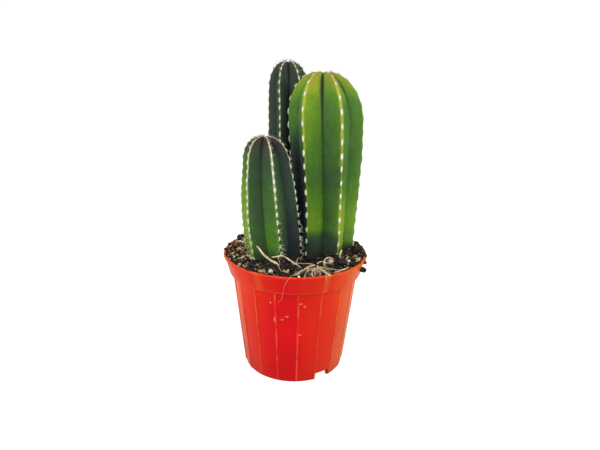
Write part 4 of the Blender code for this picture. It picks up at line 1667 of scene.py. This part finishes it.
@dataclass
class LooseTopping:
    """Everything that lies loose on the mix: roots, bark chips, clods and perlite."""

    bed: MixBed
    roots: tuple[LooseRoot, ...] = (
        LooseRoot(
            "root_long", 0.5, (
                (-15.8, -30.9, 92.6), (-12.6, -31.0, 93.1), (-8.3, -31.4, 93.9),
                (-5.4, -31.8, 92.6), (-2.5, -33.2, 90.9), (1.2, -35.0, 89.4), (4.6, -37.8, 88.0),
            ), 5,
        ),
        LooseRoot(
            "root_splinter", 0.75, (
                (-25.8, -27.6, 99.2), (-21.6, -30.4, 95.0), (-18.6, -31.6, 92.4),
                (-15.5, -33.2, 91.1), (-12.5, -35.2, 90.3), (-9.6, -37.5, 89.3),
            ), 2,
        ),
        LooseRoot(
            "root_spray_left", 0.42, (
                (14.0, -35.5, 89.2), (9.8, -36.2, 88.6), (5.5, -40.6, 87.6), (2.1, -46.6, 87.4),
                (-0.6, -50.4, 87.7),
            ), 9,
        ),
        LooseRoot(
            "root_spray_front", 0.4,
            ((13.6, -38.0, 88.9), (11.8, -43.0, 88.0), (11.2, -48.0, 87.9), (11.8, -51.0, 87.7)),
            4,
        ),
        LooseRoot(
            "root_spray_right", 0.45, (
                (14.6, -37.2, 89.6), (16.3, -39.4, 89.0), (19.0, -43.4, 88.5),
                (21.9, -48.0, 88.2), (23.6, -49.8, 87.6),
            ), 6,
        ),
        LooseRoot(
            "root_spray_back", 0.38,
            ((14.6, -34.4, 89.9), (16.5, -31.0, 89.8), (19.4, -29.8, 89.6), (22.4, -30.4, 88.6)),
            4,
        ),
        LooseRoot(
            "root_rim_right", 0.5,
            ((25.6, -41.2, 86.5), (29.8, -38.2, 86.6), (33.3, -35.5, 86.6), (36.6, -31.6, 86.5)),
            3,
        ),
        LooseRoot(
            "root_curl_left", 0.5,
            ((-45.6, 11.4, 89.0), (-41.8, 8.6, 89.8), (-37.6, 6.2, 89.6), (-34.9, 0.8, 88.2)),
            4,
        ),
        LooseRoot(
            "root_sliver_right", 0.6,
            ((31.0, -20.6, 89.5), (31.6, -20.8, 92.2), (32.6, -21.0, 95.4)),
            1,
        ),
        LooseRoot(
            "root_loop_right", 0.35, (
                (19.9, -36.8, 88.9), (19.5, -35.2, 90.6), (20.6, -32.2, 92.5),
                (22.7, -29.2, 92.6), (25.0, -27.6, 91.5), (26.9, -25.6, 90.2),
            ), 2,
        ),
    )
    chips: tuple[BarkChip, ...] = (
        BarkChip("bark_chip_left", 100.0, 6.0, (13.0, 2.6, 1.3), 0.5),
        BarkChip("bark_chip_rim_left", 110.0, 14.0, (7.5, 2.6, 1.2), 0.5),
        BarkChip("bark_chip_front", 20.0, 6.0, (5.0, 3.4, 1.3), 0.6),
        BarkChip("bark_chip_right", 75.0, 10.0, (6.0, 3.6, 1.4), 0.6),
        BarkChip("bark_chip_yellow", -30.0, 5.0, (4.0, 2.2, 1.0), 0.5),
        BarkChip("bark_chip_back", 35.0, 8.0, (8.0, 3.6, 1.5), 0.6),
    )
    fibres: tuple[DryFibre, ...] = (
        DryFibre("dry_root", srgb(255, 242, 204), srgb(220, 188, 132), srgb(160, 120, 76)),
        DryFibre("bark", srgb(178, 116, 66), srgb(92, 56, 34), srgb(52, 36, 26), 900.0, 0.0004),
        DryFibre("pale_bark", srgb(226, 204, 146), srgb(168, 134, 82), srgb(110, 84, 54)),
        DryFibre(
            "rust_bark", srgb(214, 150, 84), srgb(150, 88, 46), srgb(84, 54, 34), 900.0, 0.0002
        ),
    )

    def build(self, peat: Material, names: list[str]) -> None:
        """Makes each loose piece with its own finish, the frame's solids having these names."""
        root, bark, straw, rust = (finish.material() for finish in self.fibres)
        perlite = PerliteFoam("perlite").material()
        for seed, piece in enumerate(self.roots, 100):
            piece.build(self.bed, root, seed)
        for seed, chip in enumerate(self.chips, 140):
            pale = chip.node in ("bark_chip_yellow", "bark_chip_front")
            chip.build(straw if pale else bark, seed)
        nodes = sorted(name for name in names if name.startswith(("soil_clod", "perlite")))
        for seed, node in enumerate(nodes, 170):
            low, high = box_mm(node)
            middle, radius = (low + high) / 2 - [0, 0, 0.6], (high - low)[0] / 2
            if node.startswith("soil_clod"):
                put(f"{node}_skin", clod_skin(middle, radius, seed), peat, (node,))
            else:
                put(f"{node}_skin", grain_skin(middle, radius, seed), perlite, (node,))
        StrayBits(self.bed).build(peat, root, rust)


# ---- strays on the lip and the pot


@dataclass
class StrayBits:
    """Crumbs that strayed on to the lip and under it, and hair-thin roots.

    Attributes:
        bed: The potting mix.
        spills: First and last angle and number of the crumbs on each stretch of lip.
        stuck: Place and radius of each crumb stuck on the outside.
        threads: Radius and route of each longer thin root.
        spray: Middle of the fan of hairs.
        fuzz: Middle of the fibres by the left lip.
        steps: Points along each longer root.
        seed: Picks the small variations.
    """

    bed: MixBed
    spills: tuple[tuple[float, float, int], ...] = (
        (58.0, 112.0, 190), (-112.0, -66.0, 110), (-66.0, 58.0, 40), (112.0, 248.0, 90),
    )
    stuck: tuple[tuple[float, float, float, float], ...] = (
        (48.0, -20.4, 80.4, 2.1),
        (48.9, -18.6, 85.4, 1.3),
        (50.2, -11.0, 87.4, 1.2),
    )
    threads: tuple[tuple[float, tuple[Triple, ...]], ...] = (
        (
            0.075,
            (
                (3.2, -44.0, 88.6), (-0.2, -49.4, 88.4), (-3.0, -52.5, 87.0), (-5.0, -52.0, 83.6),
                (-6.4, -50.8, 80.0), (-6.9, -49.4, 75.0), (-8.2, -47.6, 70.0),
                (-11.0, -45.6, 65.0),
            ),
        ),
        (0.22, ((1.1, -32.0, 88.6), (1.5, -31.0, 90.6), (2.9, -29.5, 92.3))),
        (0.2, ((13.4, -35.4, 89.6), (8.4, -34.7, 90.0), (3.3, -34.9, 90.2), (-1.1, -32.2, 89.2))),
        (0.4, ((33.8, -26.0, 88.0), (35.2, -24.2, 89.6), (37.0, -22.0, 91.2))),
        (
            0.16,
            ((16.0, -38.0, 89.6), (22.0, -41.5, 89.4), (28.0, -41.2, 88.6), (31.0, -40.4, 88.0)),
        ),
        (
            0.15,
            ((12.0, -40.0, 88.8), (8.0, -46.5, 88.5), (6.8, -51.0, 88.0), (6.2, -52.6, 86.4)),
        ),
        (
            0.14,
            ((18.0, -41.0, 88.8), (20.2, -46.2, 88.6), (20.6, -49.6, 87.7), (20.8, -50.4, 84.6)),
        ),
    )
    spray: Triple = (14.4, -37.4, 89.6)
    fuzz: Triple = (-46.0, 4.0, 88.6)
    steps: int = 40
    seed: int = 31

    def crumbs(self) -> Skin:
        """Crumbs on the lip, lying where its round top carries them, and those stuck outside."""
        draw = np.random.default_rng(self.seed)
        angles = np.concatenate([draw.uniform(a, b, n) for a, b, n in self.spills])
        count = len(angles)
        reach = self.bed.edge - 1.6 + 4.0 * draw.beta(1.4, 1.6, count)
        flat = around(reach, angles, 0.0)
        ground = self.bed.height(flat[:, 0], flat[:, 1])
        pot = self.bed.pot
        lip = pot.height - 0.9 * ((reach - pot.rim + pot.lip_round) / pot.lip_round) ** 2
        size = draw.gamma(5.0, 0.13, count)
        lying = np.where(reach > pot.rim - 2.3, lip, np.maximum(ground, pot.height - 2.0))
        places = around(reach, angles, lying + 0.4 * size)
        sizes = size[:, None] * draw.uniform(0.6, 1.1, (count, 3))
        lumps, each = rough_copies(draw, ball(4, 7), places, sizes, self.seed)
        pale = draw.uniform(0, 1, count) > 0.8
        tone = np.where(pale, draw.uniform(0.55, 1.0, count), draw.uniform(0.0, 0.4, count))
        lumps.marks = {"tone": tone[each]}
        clods = [
            clod_skin(np.array([x, y, z]), radius, self.seed + 5 + index, 0.9)
            for index, (x, y, z, radius) in enumerate(self.stuck)
        ]
        return joined([lumps, *clods])

    def hairs(self) -> Skin:
        """Thin roots along their routes, and a fan of short hairs that droop to the mix."""
        draw = np.random.default_rng(self.seed + 1)
        skins = []
        for radius, route in self.threads:
            path = through(np.array(route, float), self.steps)
            wander = [lattice_noise(path + shift, 2.6, self.seed) for shift in (0.0, 30.0, 60.0)]
            path = path + 0.22 * np.stack(wander, axis=-1)
            along = np.linspace(0, 1, self.steps)
            taper = np.interp(along, [0, 0.1, 0.7, 1], [0.6, 1, 0.9, 0.35])
            skins.append(swept(path[None], radius * taper[None], 6))
        count, steps = 46, 12
        turn = draw.uniform(math.radians(-185.0), math.radians(10.0), count)[:, None]
        length = draw.uniform(4.0, 12.5, count)[:, None]
        share = np.linspace(0, 1, steps)
        bend = turn + draw.normal(scale=0.8, size=(count, 1)) * share
        x = np.cumsum(np.cos(bend) * length / steps, axis=1) + self.spray[0]
        y = np.cumsum(np.sin(bend) * length / steps, axis=1) + self.spray[1]
        x, y = (along + draw.normal(scale=2.0, size=(count, 1)) for along in (x, y))
        arch = draw.uniform(0.3, 2.4, (count, 1)) * 4 * share * (1 - share)
        z = np.maximum(self.bed.height(x, y), self.bed.pot.height - 1.0) + 0.35 + arch
        inside = np.hypot(x, y).max(axis=1) < self.bed.pot.rim + 0.6
        paths = np.stack([x, y, z], axis=-1)[inside]
        thin = draw.uniform(0.07, 0.17, (len(paths), 1)) * np.linspace(1, 0.4, steps)
        return joined([*skins, swept(paths, thin, 5)])

    def fibres(self) -> Skin:
        """Short bark fibres that stick up from the mix by the left lip."""
        draw = np.random.default_rng(self.seed + 2)
        count = 60
        spread = draw.normal(size=(count, 3)) * [2.2, 7.0, 0.4]
        start = np.array(self.fuzz) + spread
        reach = np.hypot(start[:, 0], start[:, 1])
        start[:, :2] *= np.minimum(1.0, (self.bed.edge - 0.5) / reach)[:, None]
        start[:, 2] = self.bed.height(start[:, 0], start[:, 1])
        away = unit(draw.normal(size=(count, 3)) * [1.0, 1.0, 0.25] + [-0.3, 0.0, 0.4])
        length = draw.uniform(2.0, 6.5, count)[:, None, None]
        share = np.linspace(0, 1, 7)[:, None]
        curl = draw.normal(scale=0.25, size=(count, 1, 3)) * length * share * (1 - share) * 2
        paths = start[:, None] + away[:, None] * length * share + curl
        thick = draw.uniform(0.1, 0.24, (count, 1)) * np.array([0.7, 1, 1, 0.9, 0.8, 0.6, 0.3])
        return swept(paths, thick, 5)

    def build(
        self, peat: Material, root: Material, bark: Material
    ) -> None:
        """Makes the strayed crumbs, the hairs and the fibres."""
        put("stray_crumbs", self.crumbs(), peat)
        put("hair_roots", self.hairs(), root)
        put("rim_fibres", self.fibres(), bark)


# ---- studio


@dataclass
class Studio:
    """Camera, soft lights and a plain white floor."""

    camera_place: Triple = (0.0031, -0.3295, 0.207)
    pitch_deg: float = 17.02
    roll_deg: float = 1.12
    lens: float = 28.5
    softboxes: tuple[tuple[str, Triple, tuple[float, float], float, Colour], ...] = (
        # name, place, width and height in metres, watts and colour
        ("left_softbox", (-0.75, -0.35, 0.42), (0.7, 0.9), 4.4, (1.0, 0.99, 0.96, 1.0)),
        ("right_softbox", (0.78, -0.3, 0.45), (0.7, 0.9), 4.8, (1.0, 0.99, 0.95, 1.0)),
        ("top_softbox", (0.0, -0.1, 1.0), (0.9, 0.9), 2.6, (1.0, 1.0, 1.0, 1.0)),
        ("front_fill", (-0.1, -1.1, 0.35), (0.8, 0.6), 1.8, (1.0, 1.0, 1.0, 1.0)),
    )

    def build(self) -> None:
        """Makes the camera, the lights, the world and the floor."""
        self._camera()
        for name, place, size, energy, colour in self.softboxes:
            self._softbox(name, place, size, energy, colour)
        self._world()
        self._floor()
        bpy.context.scene.view_settings.view_transform = "Standard"
        bpy.context.scene.view_settings.look = "None"

    def _camera(self) -> None:
        """A camera that looks along +Y, tipped down and rolled a little."""
        data = bpy.data.cameras.new("camera")
        data.lens, data.sensor_width = self.lens, 36.0
        data.clip_start, data.clip_end = 0.01, 20.0
        camera = linked("camera", data)
        camera.location = self.camera_place
        camera.rotation_mode = "QUATERNION"
        pitch, roll = math.radians(90.0 - self.pitch_deg) / 2, math.radians(self.roll_deg) / 2
        tip, lift = math.cos(pitch), math.sin(pitch)
        turn, spin = math.cos(roll), math.sin(roll)
        camera.rotation_quaternion = (tip * turn, lift * turn, -lift * spin, tip * spin)
        bpy.context.scene.camera = camera

    @staticmethod
    def _softbox(
        name: str,
        place: Triple,
        size: tuple[float, float],
        energy: float,
        colour: Colour,
    ) -> None:
        """A rectangular light aimed at the middle of the plant."""
        data = bpy.data.lights.new(name, "AREA")
        data.shape, data.size, data.size_y = "RECTANGLE", *size
        data.energy, data.color = energy, colour[:3]
        light = linked(name, data)
        light.location = place
        aim = light.location.copy()
        aim.negate()
        aim.z += 0.1
        light.rotation_mode = "QUATERNION"
        light.rotation_quaternion = aim.to_track_quat("-Z", "Y")

    @staticmethod
    def _world() -> None:
        """White all round to look at, and dimmer as a light."""
        world = bpy.data.worlds.new("studio")
        bpy.context.scene.world = world
        world.use_nodes = True
        bench = NodeBench(world.node_tree)
        background = world.node_tree.nodes["Background"]
        background.inputs["Color"].default_value = (1.0, 1.0, 1.0, 1.0)
        rays = bench.add("ShaderNodeLightPath").outputs
        seen = bench.times(rays["Is Camera Ray"], 1.05)
        mirrored = bench.times(rays["Is Glossy Ray"], 0.5)
        strength = bench.highest(bench.highest(seen, mirrored), 0.2)
        bench.feed(background.inputs["Strength"], strength)

    @staticmethod
    def _floor() -> None:
        """A wide flat floor under the pot."""
        corners = np.array([[-1, -1, 0], [1, -1, 0], [1, 1, 0], [-1, 1, 0]]) * 6000.0
        skin = Skin(corners, np.array([[0, 1, 2, 3]]), np.empty((0, 3), int))
        floor = linked("floor", mesh_from("floor", skin))
        floor.data.materials.append(PaleFloor("pale_floor").material())


# ---- the whole plant


def make_stems() -> list[CactusStem]:
    """The three stems: thick at the front right, short at the front left, slim at the back."""
    thick = CactusStem(
        node="stem_thick",
        slot="stem_green",
        foot=(20.0, 5.5),
        lean=(-3.1, 0.0),
        bow=2.3,
        radii=(22.0, 24.1, 26.0),
        buried=21.0,
        top=212.4,
        crown=32.5,
        rib_deg=-35.5,
        twist_deg=-3.9,
        skin=CactusSkin("stem_thick_skin"),
        # painted light and shade of each flank, by station
        painted_light_tones={
            0: (0.06, 0.14, 0.72, 0.47, 0.7, 0.95),
            1: (0.08, 0.14, 0.46, 0.34, 0.48, 0.78),
            2: (-0.2, 0.78, 0.82, 0.46, 0.5, 0.86),
            3: (-0.4, 0.6, 0.72, 0.5, 0.52, 0.82),
            10: (0.0, 0.0, 0.0, 0.06, 0.5, 0.9),
            11: (0.0, 0.0, 0.0, 0.04, 0.48, 0.95),
        },
        # painted shade in each valley, by station
        valley_shades={0: (0.1, 0.25, 0.35, 0.6, 0.9, 1.0), 1: (0.0, 0.0, 0.0, 0.1, 0.5, 1.0)},
        areole_gaps=(8.3, 9.8),
        areole_size=4.1,
        spine_lengths=(1.9, 1.2),
        spines=6,
        seed=3,
    )
    short = CactusStem(
        node="stem_short",
        slot="stem_dark_green",
        foot=(-15.2, -10.0),
        lean=(-6.4, 0.0),
        bow=-0.7,
        radii=(19.2, 20.0, 16.6),
        buried=17.0,
        top=170.4,
        crown=19.0,
        rib_deg=-38.5,
        twist_deg=-3.7,
        skin=CactusSkin(
            "stem_short_skin",
            line=srgb(226, 222, 190),
            line_share=0.8,
            line_low=0.0,
            line_from=-0.5,
            deep=srgb(36, 44, 48),
            ridge=srgb(72, 50, 42),
            crown=srgb(70, 52, 44),
            crown_share=0.6,
        ),
        # painted light and shade of each flank, by station
        painted_light_tones={
            0: (0.1, 0.25, 0.32, 0.3, 0.26, 0.15),
            1: (0.2, 0.38, 0.54, 0.42, 0.22, 0.1),
            2: (-0.1, 0.05, 0.18, 0.3, 0.22, 0.05),
            3: (-0.1, -0.1, 0.0, 0.1, 0.1, 0.05),
            10: (0.5, 0.7, 0.8, 0.76, 0.5, 0.2),
            11: (0.5, 0.7, 0.8, 0.76, 0.45, 0.15),
        },
        # painted shade in each valley, by station
        valley_shades={0: (0.0, 0.05, 0.15, 0.3, 0.6, 0.8), 1: (0.5, 0.5, 0.5, 0.3, 0.3, 0.8)},
        areole_gaps=(5.3, 5.7),
        areole_size=3.3,
        spine_lengths=(4.6, 1.6),
        spines=9,
        seed=5,
    )
    tall = CactusStem(
        node="stem_tall",
        slot="stem_shade_green",
        foot=(-8.4, 29.0),
        lean=(0.6, 4.5),
        bow=2.0,
        radii=(13.2, 15.0, 14.7),
        buried=19.0,
        top=219.4,
        crown=21.0,
        rib_deg=-16.8,
        twist_deg=-11.6,
        skin=CactusSkin(
            "stem_tall_skin",
            line=srgb(200, 200, 170),
            line_share=0.3,
            line_low=0.0,
            line_from=-0.5,
            deep=srgb(40, 50, 46),
            ridge=srgb(64, 64, 50),
            crown=srgb(60, 66, 50),
            crown_share=0.3,
        ),
        # painted light and shade of each flank, by station
        painted_light_tones={
            0: (0.0, 0.0, 0.02, 0.04, 0.04, 0.08),
            1: (0.0, 0.0, 0.02, 0.06, 0.08, 0.1),
            10: (0.04, 0.04, 0.08, 0.1, 0.1, 0.1),
            11: (0.08, 0.1, 0.14, 0.15, 0.15, 0.15),
        },
        valley_shades={},
        usual_painted_light_tones=(0.14, 0.18, 0.24, 0.26, 0.28, 0.22),
        areole_gaps=(5.9, 6.0),
        areole_size=3.7,
        spine_lengths=(2.6, 1.9),
        spines=6,
        seed=9,
    )
    return [thick, short, tall]


def main() -> None:
    """Builds every piece around the frame, then the studio."""
    logging.basicConfig(level=logging.INFO, format="%(name)s: %(message)s")
    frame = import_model()
    pot = NurseryPot()
    pot.build()
    stems = make_stems()
    peat = PeatMix("peat_mix").material()
    bed = MixBed(pot)
    bed.build(stems, peat)
    felt, horn = AreoleFelt("areole_felt").material(), SpineHorn("spine_horn").material()
    for stem in stems:
        stem.build(felt, horn)
    LooseTopping(bed).build(peat, list(frame["nodes"]))
    Studio().build()


if __name__ == "__main__":
    main()
